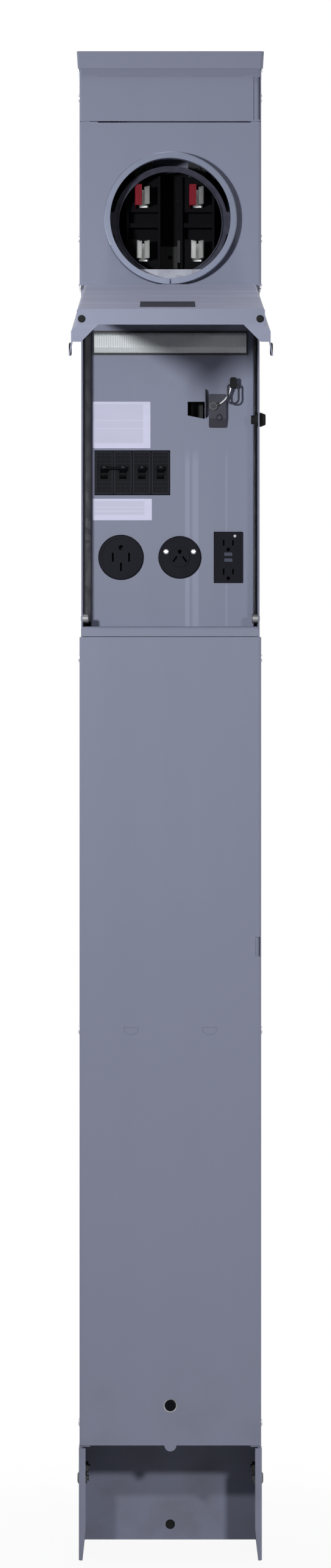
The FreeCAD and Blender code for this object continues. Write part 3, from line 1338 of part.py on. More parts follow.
def door():
    """The hood-shaped door: face, side walls that step out to a skirt, cut-away lip and flared tabs."""
    half = DOOR_HALF
    wall, skirt = DOOR_FACE + DOOR_WALL, DOOR_FACE + DOOR_SKIRT
    out = COVER_HALF
    step = wall + DOOR_SHOULDER
    path = [(-out, skirt), (-out, step), (-half, wall), (-half, DOOR_FACE), (half, DOOR_FACE), (half, wall),
            (out, step), (out, skirt)]
    body = bent_sheet("z", path, DOOR_SHEET, DOOR_BEND, DOOR_FOOT, DOOR_HEAD)
    mid = half - DOOR_EAR
    ear = mid + DOOR_SKIRT - DOOR_LIP
    lip = [(-half, DOOR_FACE, DOOR_BEND), (half, DOOR_FACE, DOOR_BEND), (half, wall), (out, step),
           (out, skirt), (ear, skirt), (mid, DOOR_FACE + DOOR_LIP), (-mid, DOOR_FACE + DOOR_LIP),
           (-ear, skirt), (-out, skirt), (-out, step), (-half, wall)]
    plate = prism("z", lip, DOOR_FOOT, DOOR_FOOT + DOOR_SHEET)
    flare = DOOR_TAB_FLARE
    tip = DOOR_FACE + DOOR_TAB
    tab = [(out - DOOR_SHEET, skirt - DOOR_BEND), (out, skirt - DOOR_BEND), (out, skirt), (out + flare, tip),
           (out + flare - DOOR_SHEET, tip), (out - DOOR_SHEET, skirt)]
    tabs = pair(prism("z", tab, DOOR_FOOT, DOOR_FOOT + DOOR_TAB_HEIGHT))
    body = joined([body, plate] + tabs)
    side = out + flare + PAST
    holes = [rod("x", STUD_Y, STUD_Z, STUD_HOLE_R, -side, side)]
    for x in (EAR_HOLE_EDGE - half, half - EAR_HOLE_EDGE):
        holes.append(rod("z", x, DOOR_FACE + EAR_HOLE_DEPTH, EAR_HOLE_R, DOOR_FOOT - PAST,
                         DOOR_FOOT + DOOR_SHEET + PAST))
    return raised(body.cut(holes))


def knuckle_spans(first):
    """The x spans of every other knuckle, from the first or the second one on."""
    pitch = 2 * LEAF_REACH / KNUCKLE_COUNT
    spans = []
    for i in range(first, KNUCKLE_COUNT, 2):
        low = -LEAF_REACH + i * pitch
        spans.append((low + KNUCKLE_GAP / 2, low + pitch - KNUCKLE_GAP / 2))
    return spans


def hinge_leaf(first, upright):
    """One leaf of the hinge: a strip with knuckles rolled along its edge."""
    near = KNUCKLE_R + SWING_GAP
    outer_side = (HINGE_Y - KNUCKLE_R, HINGE_Y - KNUCKLE_R + LEAF_SHEET)
    top_side = (HINGE_Z + KNUCKLE_R - LEAF_SHEET, HINGE_Z + KNUCKLE_R)
    reach = (-LEAF_REACH, LEAF_REACH)
    if upright:
        shapes = [block(reach, outer_side, (HINGE_Z - LEAF_WIDTH, HINGE_Z - near))]
    else:
        shapes = [block(reach, (HINGE_Y + near, HINGE_Y + LEAF_WIDTH), top_side)]
    for span in knuckle_spans(first):
        shapes.append(rod("x", HINGE_Y, HINGE_Z, KNUCKLE_R, *span))
        if upright:
            shapes.append(block(span, outer_side, (HINGE_Z - near, HINGE_Z)))
        else:
            shapes.append(block(span, (HINGE_Y, HINGE_Y + near), top_side))
    bore = rod("x", HINGE_Y, HINGE_Z, PIN_R + PIN_FIT, -LEAF_REACH - PAST, LEAF_REACH + PAST)
    return joined(shapes).cut(bore)


def hinge_pin():
    """The plain rod through all the knuckles."""
    return rod("x", HINGE_Y, HINGE_Z, PIN_R, -LEAF_REACH, LEAF_REACH)


def latch_studs():
    """The studs through the walls that the door's flared tabs snap over, with their nuts inside."""
    tip = POST_HALF + STUD_PROUD
    profile = [(0, WALL_IN - STUD_NUT), (STUD_NUT_R, WALL_IN - STUD_NUT, LEAF_SHEET), (STUD_NUT_R, WALL_IN),
               (STUD_R, WALL_IN), (STUD_R, tip), (0, tip)]
    return group(pair(turned("x", STUD_Y, STUD_Z, profile)))


def ground_bar():
    """The ground bar on the rear wall of the wireway, with its row of screws."""
    half = GROUND_BAR_LENGTH / 2
    size = GROUND_BAR_SIZE
    back = BACK_IN - GROUND_STAND
    face = back - size
    z = GROUND_BAR_Z
    shapes = [block((-half, half), (face, back), (z - size / 2, z + size / 2))]
    for x in (GROUND_FOOT_END - half, half - GROUND_FOOT_END):
        shapes.append(rod("y", x, z, GROUND_FOOT_R, back, BACK_IN))
    first = GROUND_SCREW_END - half
    pitch = -2 * first / (GROUND_SCREW_COUNT - 1)
    for i in range(GROUND_SCREW_COUNT):
        shapes.append(rod("y", first + i * pitch, z, GROUND_SCREW_R, face - GROUND_SCREW_STAND, face))
    return joined(shapes)


def pieces():
    """Every piece of the pedestal, by name."""
    jaw_x, jaw_z = JAW_SPREAD_X / 2, JAW_SPREAD_Z / 2
    block_end = BLOCK_HEIGHT / 2
    return {
        "post_channel": post_channel(),
        "base_channel": base_channel(),
        "base_bolts": base_bolts(),
        "lower_cover": lower_cover(),
        "side_screws": cover_screws(side_screw_levels()),
        "upper_screws": cover_screws(upper_screw_levels()),
        "cover_bolt": cover_bolt(),
        "cover_bracket": cover_bracket(),
        "compartment_sill": compartment_sill(),
        "meter_floor": meter_floor(),
        "meter_cover": meter_cover(),
        "top_panel": top_panel(),
        "top_cap": top_cap(),
        "sealing_ring": sealing_ring(),
        "support_rim": support_rim(),
        "support_bracket": support_bracket(),
        "socket_bracket": socket_bracket(),
        "socket_block_left": socket_block(-1),
        "socket_block_right": socket_block(1),
        "line_jaw_left": jaw(-jaw_x, SOCKET_Z + jaw_z),
        "line_jaw_right": jaw(jaw_x, SOCKET_Z + jaw_z),
        "load_jaw_left": jaw(-jaw_x, SOCKET_Z - jaw_z),
        "load_jaw_right": jaw(jaw_x, SOCKET_Z - jaw_z),
        "line_guards": line_guards(),
        "line_lugs": lugs(SOCKET_Z + block_end, 1),
        "neutral_bar": neutral_bar(),
        "bus_bar_left": bus_bar(-1),
        "bus_bar_right": bus_bar(1),
        "outlet_panel": outlet_panel(),
        "panel_brackets": panel_brackets(),
        "breaker_base": breaker_base(),
        "breaker_50a": breaker(0, 2),
        "breaker_30a": breaker(2, 1),
        "breaker_20a": breaker(3, 1),
        "handle_50a": handle(0, 2),
        "handle_30a": handle(2, 1),
        "handle_20a": handle(3, 1),
        "receptacle_50a": receptacle_50a(),
        "receptacle_30a": receptacle_30a(),
        "receptacle_screws": receptacle_screws(),
        "gfci_body": gfci_body(),
        "gfci_test_button": gfci_button(1),
        "gfci_reset_button": gfci_button(-1),
        "upper_label": upper_label(),
        "lower_label": lower_label(),
        "light_housing": light_housing(),
        "light_lens": light_lens(),
        "photocell_eye": photocell_eye(),
        "photocell_nut": photocell_nut(),
        "hasp_base": hasp_base(),
        "hasp_keeper": hasp_keeper(),
        "hasp_lever": hasp_lever(),
        "hasp_grip": hasp_grip(),
        "hasp_bail": hasp_bail(),
        "door": door(),
        "door_hinge_leaf": raised(hinge_leaf(1, True)),
        "fixed_hinge_leaf": hinge_leaf(0, False),
        "hinge_pin": hinge_pin(),
        "latch_studs": latch_studs(),
        "ground_bar": ground_bar(),
    }


os.makedirs(OUT, exist_ok=True)
for name, shape in pieces().items():
    shape.exportStep(os.path.join(OUT, name + ".step"))
    box = shape.BoundBox
    corners = (box.XMin, box.XMax, box.YMin, box.YMax, box.ZMin, box.ZMax)
    print(name, "solids", len(shape.Solids), "valid", shape.isValid(), "volume %.0f" % shape.Volume,
          "x %.1f..%.1f y %.1f..%.1f z %.1f..%.1f" % corners)
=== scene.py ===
"""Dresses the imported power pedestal: its finishes, its small trim, the lamps, the floor and the camera."""
import json
import math

import bpy
from bpy.props import FloatProperty, FloatVectorProperty, PointerProperty
from bpy.types import Operator, Panel, PropertyGroup
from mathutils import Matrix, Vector


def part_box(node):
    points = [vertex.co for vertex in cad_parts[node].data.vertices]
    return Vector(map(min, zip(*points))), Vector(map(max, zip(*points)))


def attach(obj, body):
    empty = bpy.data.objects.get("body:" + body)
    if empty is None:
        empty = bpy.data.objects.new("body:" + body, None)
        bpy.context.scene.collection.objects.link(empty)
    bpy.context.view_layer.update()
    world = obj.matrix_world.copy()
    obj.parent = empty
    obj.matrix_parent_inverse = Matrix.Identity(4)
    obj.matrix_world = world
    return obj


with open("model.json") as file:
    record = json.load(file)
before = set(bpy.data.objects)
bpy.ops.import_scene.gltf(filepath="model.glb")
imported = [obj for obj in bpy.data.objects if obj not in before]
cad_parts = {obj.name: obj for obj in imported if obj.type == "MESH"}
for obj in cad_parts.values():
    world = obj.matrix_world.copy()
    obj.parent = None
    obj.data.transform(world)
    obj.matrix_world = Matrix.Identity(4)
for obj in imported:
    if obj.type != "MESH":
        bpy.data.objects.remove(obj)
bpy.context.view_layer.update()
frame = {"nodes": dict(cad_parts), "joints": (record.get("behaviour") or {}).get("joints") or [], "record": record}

bl_info = {
    "name": "Power Pedestal Dressing",
    "version": (1, 0, 0),
    "blender": (4, 5, 0),
    "location": "View3D > Sidebar > Pedestal",
    "description": "Finishes and small trim for a metered power pedestal",
    "category": "Object",
}

MM = 0.001
SHARP = math.radians(35)

# Finishes: the labels' bare field and rules, and the panel's streaks of painted reflection as (left, right,
# weight)
LABEL_SIDE = 2 * MM
LABEL_HEAD = 3 * MM
LABEL_MARGIN = 10 * MM
LABEL_FOOT = 7 * MM
LABEL_RULES = (0.42, 0.60)
RULE_HALF = 0.7 * MM
REFLECTION_STREAKS = ((0.020, 0.026, 0.45), (0.030, 0.038, 0.40), (0.075, 0.0765, 0.5))
STREAK_BLUR = 1.2 * MM
STREAK_TOP = 1.50
STREAK_FADE = 30 * MM
HUB_REACH = 9 * MM
SOIL = (0.15, 0.13, 0.12, 1.0)
FLECK = (0.10, 0.10, 0.11, 1.0)

# The door: along is measured from its hinge edge, deep from its outer face, aside from its middle
FACE_STAND_OFF = 4.8 * MM
PLATE_ALONG, PLATE_ASIDE, PLATE_HALF = 374 * MM, -4 * MM, 0.25 * MM
PLUG_ALONG, PLUG_DEEP, PLUG_ASIDE, PLUG_DEPTH = 449.6 * MM, 12 * MM, 108.6 * MM, 3.0 * MM
PAD_ALONG, PAD_DEEP, PAD_INWARD = 437 * MM, 50 * MM, 1.65 * MM
PAD_HALF = Vector((1.55, 12, 7)) * MM

# The breakers: one pole's rim and ribs, measured from the middle of its face
RIM_GAP = 0.6 * MM
RIM_HALF_HEIGHT = 29 * MM
RIM_SUNK, RIM_PROUD = 0.9 * MM, 0.5 * MM
RIB_SUNK, RIB_PROUD = 0.5 * MM, 0.3 * MM
RIB_END = 3 * MM
RIB_LEVELS = tuple(level * MM for level in (-12.5, -18.0, -23.5, 12.5, 18.0, 23.5))
LEVEL_RIB_HALF = 0.5 * MM
UPRIGHT_SHARES = (0.36, 0.64)
UPRIGHT_RIB_HALF = 0.4 * MM
UPRIGHT_NEAR, UPRIGHT_FAR = 12 * MM, 27.5 * MM
HANDLE_TILT = math.radians(18)
HANDLE_REACH = 20.85 * MM
HANDLE_HALF = 4.5 * MM

# The outlet's lamp, the photocell's glass and the cap of the stake hole
LAMP_ASIDE, LAMP_DOWN, LAMP_DEPTH = 9.0 * MM, 8.2 * MM, 1.6 * MM
GLASS_INWARD, GLASS_RADIUS, GLASS_DEPTH = 1.3 * MM, 4.9 * MM, 1.6 * MM
CAP_FORWARD, CAP_PLAY, CAP_DEPTH = 0.4 * MM, 0.1 * MM, 2.4 * MM

# The stage: each lamp's place, target, size, power, spread in degrees and colour
SKY = (0.94, 0.97, 1.0)
ROOM = (0.97, 0.98, 1.0)
WHITE = (1, 1, 1, 1)
LAMPS = {
    "left_lamp": ((-0.70, -2.30, 1.57), (0, -0.1, 1.60), 0.16, 11.8, 100, SKY),
    "right_lamp": ((0.88, -3.10, 1.45), (0, -0.1, 0.05), 0.20, 4.4, 60, SKY),
    "back_lamp": ((0, 3.00, 1.50), (0, 0, 1.10), 0.50, 62, 180, ROOM),
    "west_lamp": ((-3.2, 0.60, 1.90), (0, 0, 1.10), 0.50, 38, 180, ROOM),
    "east_lamp": ((3.2, 0.60, 1.90), (0, 0, 1.10), 0.50, 38, 180, ROOM),
    "top_lamp": ((-0.10, -0.35, 3.60), (0, -0.3, 1.60), 0.40, 24, 180, ROOM),
}
WORLD_LIGHT, WORLD_TINT = 0.04, (0.90, 0.95, 1.0, 1.0)
FLOOR_SIZE, FLOOR_DROP = 40.0, 0.5 * MM
FLOOR_TONES = ((0.42, 0.42, 0.42, 1.0), (0.38, 0.38, 0.39, 1.0))
SHADOW_NEAR, SHADOW_FAR, SHADOW_WHITE = 0.20, 0.8, 0.93
CAMERA_ASIDE, CAMERA_HEIGHT = -6.5 * MM, 1.040
CAMERA_LENS, CAMERA_SENSOR, CAMERA_FAR = 90.84, 36.0, 100.0


# A finish is mixed from nodes that are written as sums

class Signal:
    """What one node gives out. Arithmetic on it adds Math nodes to the same recipe."""

    def __init__(self, recipe, socket):
        self.recipe = recipe
        self.socket = socket

    def maths(self, operation, first, second):
        return self.recipe.add("ShaderNodeMath", {"operation": operation}, {0: first, 1: second})

    def __add__(self, other):
        return self.maths("ADD", self, other)

    def __sub__(self, other):
        return self.maths("SUBTRACT", self, other)

    def __rsub__(self, other):
        return self.maths("SUBTRACT", other, self)

    def __mul__(self, other):
        return self.maths("MULTIPLY", self, other)

    __radd__ = __add__
    __rmul__ = __mul__


class Recipe:
    """A node tree being filled. Every node comes from add()."""

    def __init__(self, tree):
        self.tree = tree
        tree.nodes.clear()

    def add(self, kind, settings=None, inputs=None, output=0):
        node = self.tree.nodes.new(kind)
        for key, value in (settings or {}).items():
            setattr(node, key, value)
        for key, value in (inputs or {}).items():
            if isinstance(value, Signal):
                self.tree.links.new(value.socket, node.inputs[key])
            else:
                node.inputs[key].default_value = value
        return Signal(self, node.outputs[output]) if len(node.outputs) else None

    def close(self, shader, kind="ShaderNodeOutputMaterial"):
        self.add(kind, inputs={"Surface": shader})

    def place(self, scale=(1, 1, 1)):
        raw = self.add("ShaderNodeTexCoord", output="Object")
        return self.add("ShaderNodeMapping", inputs={"Vector": raw, "Scale": scale})

    def along(self, where, letter):
        return self.add("ShaderNodeSeparateXYZ", inputs={"Vector": where}, output=letter)

    def noise(self, where, scale, detail=3.0, roughness=0.5):
        return self.add("ShaderNodeTexNoise", inputs={"Vector": where, "Scale": scale, "Detail": detail,
                                                      "Roughness": roughness}, output="Fac")

    def cells(self, where, scale):
        return self.add("ShaderNodeTexVoronoi", inputs={"Vector": where, "Scale": scale}, output="Color")

    def rise(self, value, low, high, bottom=0.0, top=1.0):
        return self.add("ShaderNodeMapRange", {"interpolation_type": "SMOOTHSTEP"},
                        {"Value": value, "From Min": low, "From Max": high, "To Min": bottom, "To Max": top})

    def tint(self, share, first, second):
        return self.add("ShaderNodeMix", {"data_type": "RGBA"}, {0: share, 6: first, 7: second}, output=2)

    def relief(self, height, strength, depth):
        return self.add("ShaderNodeBump", inputs={"Height": height, "Strength": strength, "Distance": depth},
                        output="Normal")


def begin_finish(name):
    material = bpy.data.materials.new("pedestal_" + name)
    material.use_nodes = True
    return material, Recipe(material.node_tree)


def end_finish(material, recipe, **inputs):
    """Closes a finish with one Principled shader, its inputs named with underscores for spaces."""
    named = {key.replace("_", " "): value for key, value in inputs.items()}
    recipe.close(recipe.add("ShaderNodeBsdfPrincipled", inputs=named))
    return material


def shade(colour, factor):
    """The same colour, darker or paler by one factor, or by one for each of red, green and blue."""
    factors = factor if isinstance(factor, tuple) else (factor,) * 3
    return tuple(part * by for part, by in zip(colour[:3], factors)) + (1.0,)


# Finishes

def within(mix, value, low, high, edge=0.0004):
    """One between two places, falling to nothing just outside them."""
    return mix.rise(value, low - edge, low + edge) * mix.rise(value, high + edge, high - edge)


def painted_reflection_streaks(mix):
    """Pale upright streaks down the panel, right of the breakers: painted reflections in its semi-gloss paint."""
    where = mix.place()
    x, z = mix.along(where, "X"), mix.along(where, "Z")
    marks = sum(within(mix, x, left, right, STREAK_BLUR) * weight for left, right, weight in REFLECTION_STREAKS)
    return marks * mix.rise(z, STREAK_TOP, STREAK_TOP - STREAK_FADE)


def painted_highlight_streaks(mix):
    """Broad pale streaks across the door's face: painted highlights on its slightly glossy paint."""
    wide = mix.noise(mix.place(scale=(0.5, 6, 6)), 4.2, 1.0)
    fine = mix.noise(mix.place(scale=(0.5, 14, 14)), 7.0, 1.0)
    return mix.rise(wide, 0.44, 0.70) * 0.26 + mix.rise(fine, 0.5, 0.75) * 0.10


def powder_coat(name, colour, marks=None):
    """Satin powder coat: orange peel, faint clouds and streaks, and soil near the ground."""
    material, mix = begin_finish(name)
    where = mix.place()
    clouds = mix.noise(where, 3.0, 2.0)
    streaks = mix.noise(mix.place(scale=(26, 26, 1.4)), 1.0, 3.0)
    peel = mix.noise(where, 620.0, 2.0)
    specks = mix.rise(mix.noise(where, 190.0, 2.0), 0.70, 0.80)
    height = mix.along(where, "Z")
    splash = mix.rise(height, 0.34, 0.02) * mix.rise(mix.noise(where, 17.0, 5.0), 0.42, 0.75)
    worn = mix.tint(clouds * 0.55, shade(colour, 1.05), shade(colour, 0.93))
    worn = mix.tint(streaks * 0.16, worn, shade(colour, 0.80))
    worn = mix.tint(specks * 0.25, worn, shade(colour, 1.25))
    worn = mix.tint(splash * 0.30, worn, SOIL)
    # Marks passed in are painted highlights and reflections, laid paler over the coat
    if marks:
        worn = mix.tint(marks(mix), worn, shade(colour, 1.5))
    return end_finish(material, mix, Base_Color=worn, Roughness=0.46 + streaks * 0.12 + splash * 0.25,
                      Specular_IOR_Level=0.16, Normal=mix.relief(peel, 0.10, 0.00025))


def zinc_sheet(name, colour):
    """Galvanised sheet: soft spangle and a chalky bloom."""
    material, mix = begin_finish(name)
    where = mix.place()
    spangle = mix.cells(where, 130.0)
    flake = mix.along(spangle, "X")
    bloom = mix.noise(where, 22.0, 4.0)
    tone = mix.tint(flake * 0.5, shade(colour, 1.1), shade(colour, 0.8))
    tone = mix.tint(bloom * 0.4, tone, shade(colour, 0.65))
    return end_finish(material, mix, Base_Color=tone, Metallic=0.6,
                      Roughness=0.42 + flake * 0.12 + bloom * 0.1, Normal=mix.relief(bloom, 0.08, 0.0004))


def plated(name, colour, roughness, metallic=1.0):
    """Turned or drawn metal with fine marks and a slightly uneven plating."""
    material, mix = begin_finish(name)
    fine = mix.noise(mix.place(scale=(1, 1, 9)), 420.0, 3.0)
    patches = mix.noise(mix.place(), 60.0, 3.0)
    tone = mix.tint(patches * 0.6, shade(colour, 1.08), shade(colour, 0.78))
    return end_finish(material, mix, Base_Color=tone, Metallic=metallic,
                      Roughness=roughness + fine * 0.12 + patches * 0.06,
                      Normal=mix.relief(fine, 0.12, 0.0001))


def moulding(name, colour, roughness, grain=900.0):
    """Moulded plastic: a fine spark-eroded grain, scuffs and a little dust."""
    material, mix = begin_finish(name)
    where = mix.place()
    texture = mix.noise(where, grain, 2.0)
    scuff = mix.rise(mix.noise(mix.place(scale=(1, 1, 0.25)), 150.0, 4.0), 0.55, 0.8)
    dust = mix.noise(where, 26.0, 4.0)
    tone = mix.tint(dust * 0.35, shade(colour, 0.8), shade(colour, 1.2))
    tone = mix.tint(scuff * 0.2, tone, shade(colour, 1.7))
    return end_finish(material, mix, Base_Color=tone, Roughness=roughness + scuff * 0.14 + dust * 0.08,
                      Specular_IOR_Level=0.05, Normal=mix.relief(texture, 0.16, 0.0002))


def film(name, colour, node):
    """Bare label film: a blank field inside a paler margin, two pale rules and faint creases."""
    material, mix = begin_finish(name)
    where = mix.place()
    low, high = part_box(node)
    x, z = mix.along(where, "X"), mix.along(where, "Z")
    field = within(mix, x, low.x + LABEL_SIDE, high.x - LABEL_MARGIN)
    field = field * within(mix, z, low.z + LABEL_FOOT, high.z - LABEL_HEAD)
    levels = [low.z + (high.z - low.z) * share for share in LABEL_RULES]
    rules = sum(within(mix, z, level - RULE_HALF, level + RULE_HALF) for level in levels)
    field = field * (1.0 - rules * 0.7)
    fibre = mix.noise(where, 240.0, 3.0)
    crease = mix.noise(mix.place(scale=(1, 1, 6)), 14.0, 3.0)
    tone = mix.tint(fibre * 0.25, shade(colour, 1.10), shade(colour, 1.02))
    tone = mix.tint(field, tone, shade(colour, 0.95))
    tone = mix.tint(mix.rise(crease, 0.45, 0.75) * 0.3, tone, shade(colour, 0.88))
    return end_finish(material, mix, Base_Color=tone, Roughness=0.42 + fibre * 0.12,
                      Specular_IOR_Level=0.2, Normal=mix.relief(crease, 0.12, 0.0003))


def frosted_lens(name, colour):
    """The lamp's lens: fine upright flutes in a milky plastic."""
    material, mix = begin_finish(name)
    where = mix.place()
    across = mix.along(where, "X")
    flutes = mix.add("ShaderNodeMath", {"operation": "SINE"}, {0: across * 2600.0}) * 0.5 + 0.5
    haze = mix.noise(where, 30.0, 3.0)
    tone = mix.tint(haze * 0.4, colour, shade(colour, 0.86))
    tone = mix.tint(flutes * 0.15, tone, shade(colour, 0.75))
    return end_finish(material, mix, Base_Color=tone, Roughness=0.22 + haze * 0.15, Subsurface_Weight=0.25,
                      Subsurface_Radius=(0.004, 0.004, 0.004), Subsurface_Scale=1.0,
                      Normal=mix.relief(flutes, 0.35, 0.0006))


def phenolic(name, colour):
    """Pressed black phenolic: a faint flow pattern and a dull sheen."""
    material, mix = begin_finish(name)
    where = mix.place()
    flow = mix.noise(mix.place(scale=(1, 1, 2.5)), 34.0, 6.0, 0.6)
    pits = mix.rise(mix.noise(where, 700.0, 2.0), 0.62, 0.72)
    tone = mix.tint(flow * 0.6, shade(colour, 0.3), shade(colour, 0.8))
    return end_finish(material, mix, Base_Color=tone, Roughness=0.40 + flow * 0.2,
                      Specular_IOR_Level=0.02, Normal=mix.relief(pits, 0.2, 0.0002))


def drawn_wire(name, colour, hub):
    """Bright drawn wire, painted much darker round the hub it turns on."""
    material, mix = begin_finish(name)
    where = mix.place()
    gap = mix.add("ShaderNodeVectorMath", {"operation": "DISTANCE"}, {0: where, 1: hub}, output="Value")
    hub_dark = mix.rise(gap, HUB_REACH * 1.25, HUB_REACH)
    fine = mix.noise(mix.place(scale=(1, 1, 6)), 380.0, 3.0)
    tone = mix.tint(fine * 0.5, colour, shade(colour, 0.8))
    tone = mix.tint(hub_dark, tone, shade(colour, 0.09))
    return end_finish(material, mix, Base_Color=tone, Metallic=0.9, Roughness=0.24 + hub_dark * 0.3,
                      Normal=mix.relief(fine, 0.1, 0.0001))


def brass(name, colour):
    """Sawn brass with brown tarnish in patches."""
    material, mix = begin_finish(name)
    patches = mix.noise(mix.place(), 70.0, 4.0)
    saw = mix.noise(mix.place(scale=(30, 1, 1)), 60.0, 2.0)
    tone = mix.tint(patches * 0.7, colour, shade(colour, 0.5))
    return end_finish(material, mix, Base_Color=tone, Metallic=1.0, Roughness=0.3 + patches * 0.2,
                      Normal=mix.relief(saw, 0.2, 0.0002))


def black_paint(name, colour):
    """Brushed-on black paint: flat, with runs and worn flecks."""
    material, mix = begin_finish(name)
    where = mix.place()
    runs = mix.noise(mix.place(scale=(8, 8, 1)), 9.0, 3.0)
    flecks = mix.rise(mix.noise(where, 260.0, 3.0), 0.66, 0.78)
    tone = mix.tint(runs * 0.5, shade(colour, 0.75), shade(colour, 1.3))
    tone = mix.tint(flecks * 0.2, tone, FLECK)
    return end_finish(material, mix, Base_Color=tone, Roughness=0.48 + runs * 0.15,
                      Specular_IOR_Level=0.03, Normal=mix.relief(runs, 0.15, 0.0003))


# Each slot: who mixes its finish, how its colour is scaled, and that finish's own settings
FINISHES = {
    "painted_steel": (powder_coat, 1.0),
    "galvanised": (zinc_sheet, 1.0),
    "zinc_fastener": (plated, 1.0, 0.30),
    "dark_fastener": (plated, 0.10, 0.42, 0.6),
    "ring_aluminium": (plated, (0.36, 0.39, 0.46), 0.32, 0.5),
    "black_phenolic": (phenolic, 1.0),
    # The socket bracket is black paint at 0.4 of its colour: painted shade for the unlit inside of the meter
    # socket
    "black_bracket": (black_paint, 0.4),
    "red_insulation": (moulding, 0.55, 0.42),
    "tinned_jaw": (plated, 0.95, 0.34, 0.85),
    # Lugs and bars are laid at 0.03 of their colour: painted shade for the unlit inside of the meter socket
    "lug_aluminium": (plated, 0.03, 0.55, 0.5),
    "device_black": (moulding, 0.55, 0.38),
    "breaker_black": (moulding, 0.4, 0.44),
    "button_grey": (moulding, 1.0, 0.40),
    "label_white": (moulding, 0.2, 0.5),
    "lens_clear": (frosted_lens, 1.0),
    # The lamp tray is laid at 0.15 of its colour: painted shade for the dark under the raised door
    "lamp_tray": (moulding, 0.15, 0.45),
    "hasp_steel": (plated, 0.45, 0.45, 0.6),
    "bright_wire": (plated, 1.0, 0.22),
    "black_grip": (moulding, 1.0, 0.6, 500.0),
    "ground_brass": (brass, 1.0),
}

# Every finish that has been mixed, by its name
laid = {}


# Modelling by hand, a step at a time

def let_go():
    if bpy.context.mode != "OBJECT":
        bpy.ops.object.mode_set(mode="OBJECT")
    bpy.ops.object.select_all(action="DESELECT")


def hold(piece):
    let_go()
    piece.select_set(True)
    bpy.context.view_layer.objects.active = piece


def start_block(low, high):
    """A block between two corners, ready to be shaped."""
    let_go()
    bpy.ops.mesh.primitive_cube_add(size=1.0, location=(Vector(low) + Vector(high)) / 2)
    piece = bpy.context.object
    piece.scale = Vector(high) - Vector(low)
    bpy.ops.object.transform_apply(location=True, rotation=True, scale=True)
    return piece


def start_round(centre, radius, depth, along, sides=24):
    """A short cylinder with its axis along Y ("Y") or X ("X")."""
    let_go()
    turn = (math.pi / 2, 0, 0) if along == "Y" else (0, math.pi / 2, 0)
    bpy.ops.mesh.primitive_cylinder_add(vertices=sides, radius=radius, depth=depth, location=centre,
                                        rotation=turn)
    bpy.ops.object.transform_apply(location=True, rotation=True, scale=True)
    return bpy.context.object


def pick(piece, test):
    """Goes into edit mode with only those faces selected whose normal passes the test."""
    hold(piece)
    bpy.ops.object.mode_set(mode="EDIT")
    bpy.ops.mesh.select_mode(type="FACE")
    bpy.ops.mesh.select_all(action="DESELECT")
    bpy.ops.object.mode_set(mode="OBJECT")
    for face in piece.data.polygons:
        face.select = test(face.normal)
    bpy.ops.object.mode_set(mode="EDIT")


def inset(piece, test, border, depth):
    """Insets the faces that pass the test, and sinks or raises what lies inside the border."""
    pick(piece, test)
    bpy.ops.mesh.inset(thickness=border, depth=depth)
    bpy.ops.object.mode_set(mode="OBJECT")


def soften(piece, width, segments=2):
    """Rounds the sharp edges with an applied bevel and smooths the rest."""
    hold(piece)
    rounding = piece.modifiers.new("soften", "BEVEL")
    rounding.width = width
    rounding.segments = segments
    rounding.limit_method = "ANGLE"
    rounding.angle_limit = SHARP
    bpy.ops.object.modifier_apply(modifier=rounding.name)
    bpy.ops.object.shade_smooth_by_angle(angle=SHARP)


def hand_over(piece, name, body, slot, finish=None):
    """Names a finished piece, gives it its slot's finish or its own, and lets it ride on its body."""
    hold(piece)
    bpy.ops.object.transform_apply(location=True, rotation=True, scale=True)
    piece.name = name
    piece.data.name = name
    piece.data.materials.clear()
    piece.data.materials.append(laid[finish or slot])
    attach(piece, body)
    return piece


def merge(pieces):
    let_go()
    for piece in pieces:
        piece.select_set(True)
    bpy.context.view_layer.objects.active = pieces[0]
    bpy.ops.object.join()
    return bpy.context.object


def repeat(piece, moves):
    """The piece, and a copy with its own mesh at each move away from it."""
    pieces = [piece]
    for move in moves:
        hold(piece)
        bpy.ops.object.duplicate(linked=False)
        pieces.append(bpy.context.object)
        pieces[-1].location = piece.location + Vector(move)
    return pieces


def joint(name):
    return next(entry for entry in frame["joints"] if entry["name"] == name)


def lay_on_door(piece, along, deep, aside):
    """Slopes a piece with the raised door and moves it to its place there."""
    hinge = joint("door_hinge")
    angle = math.radians(hinge["range_deg"][1])
    forward = Vector((0, -math.sin(angle), -math.cos(angle)))
    below = Vector((0, math.cos(angle), -math.sin(angle)))
    piece.rotation_euler = (math.pi / 2 - angle, 0, 0)
    piece.location = (Vector(hinge["pos_m"]) + forward * along + below * (deep - FACE_STAND_OFF)
                      + Vector((aside, 0, 0)))


# What a user may change

def colour_of(slot, text):
    found = next(m for m in frame["record"]["materials"] if m["slot"] == slot)
    value = tuple(found["base_color"][:3]) + (1.0,)
    return FloatVectorProperty(name=text, description="Colour of the " + text.lower(), default=value, size=4,
                               min=0.0, max=1.0, subtype="COLOR")


def length(name, text, usual, least, most):
    """A length that a user may change, given here in millimetres."""
    return FloatProperty(name=name, description=text, default=usual * MM, min=least * MM, max=most * MM,
                         unit="LENGTH", subtype="DISTANCE")


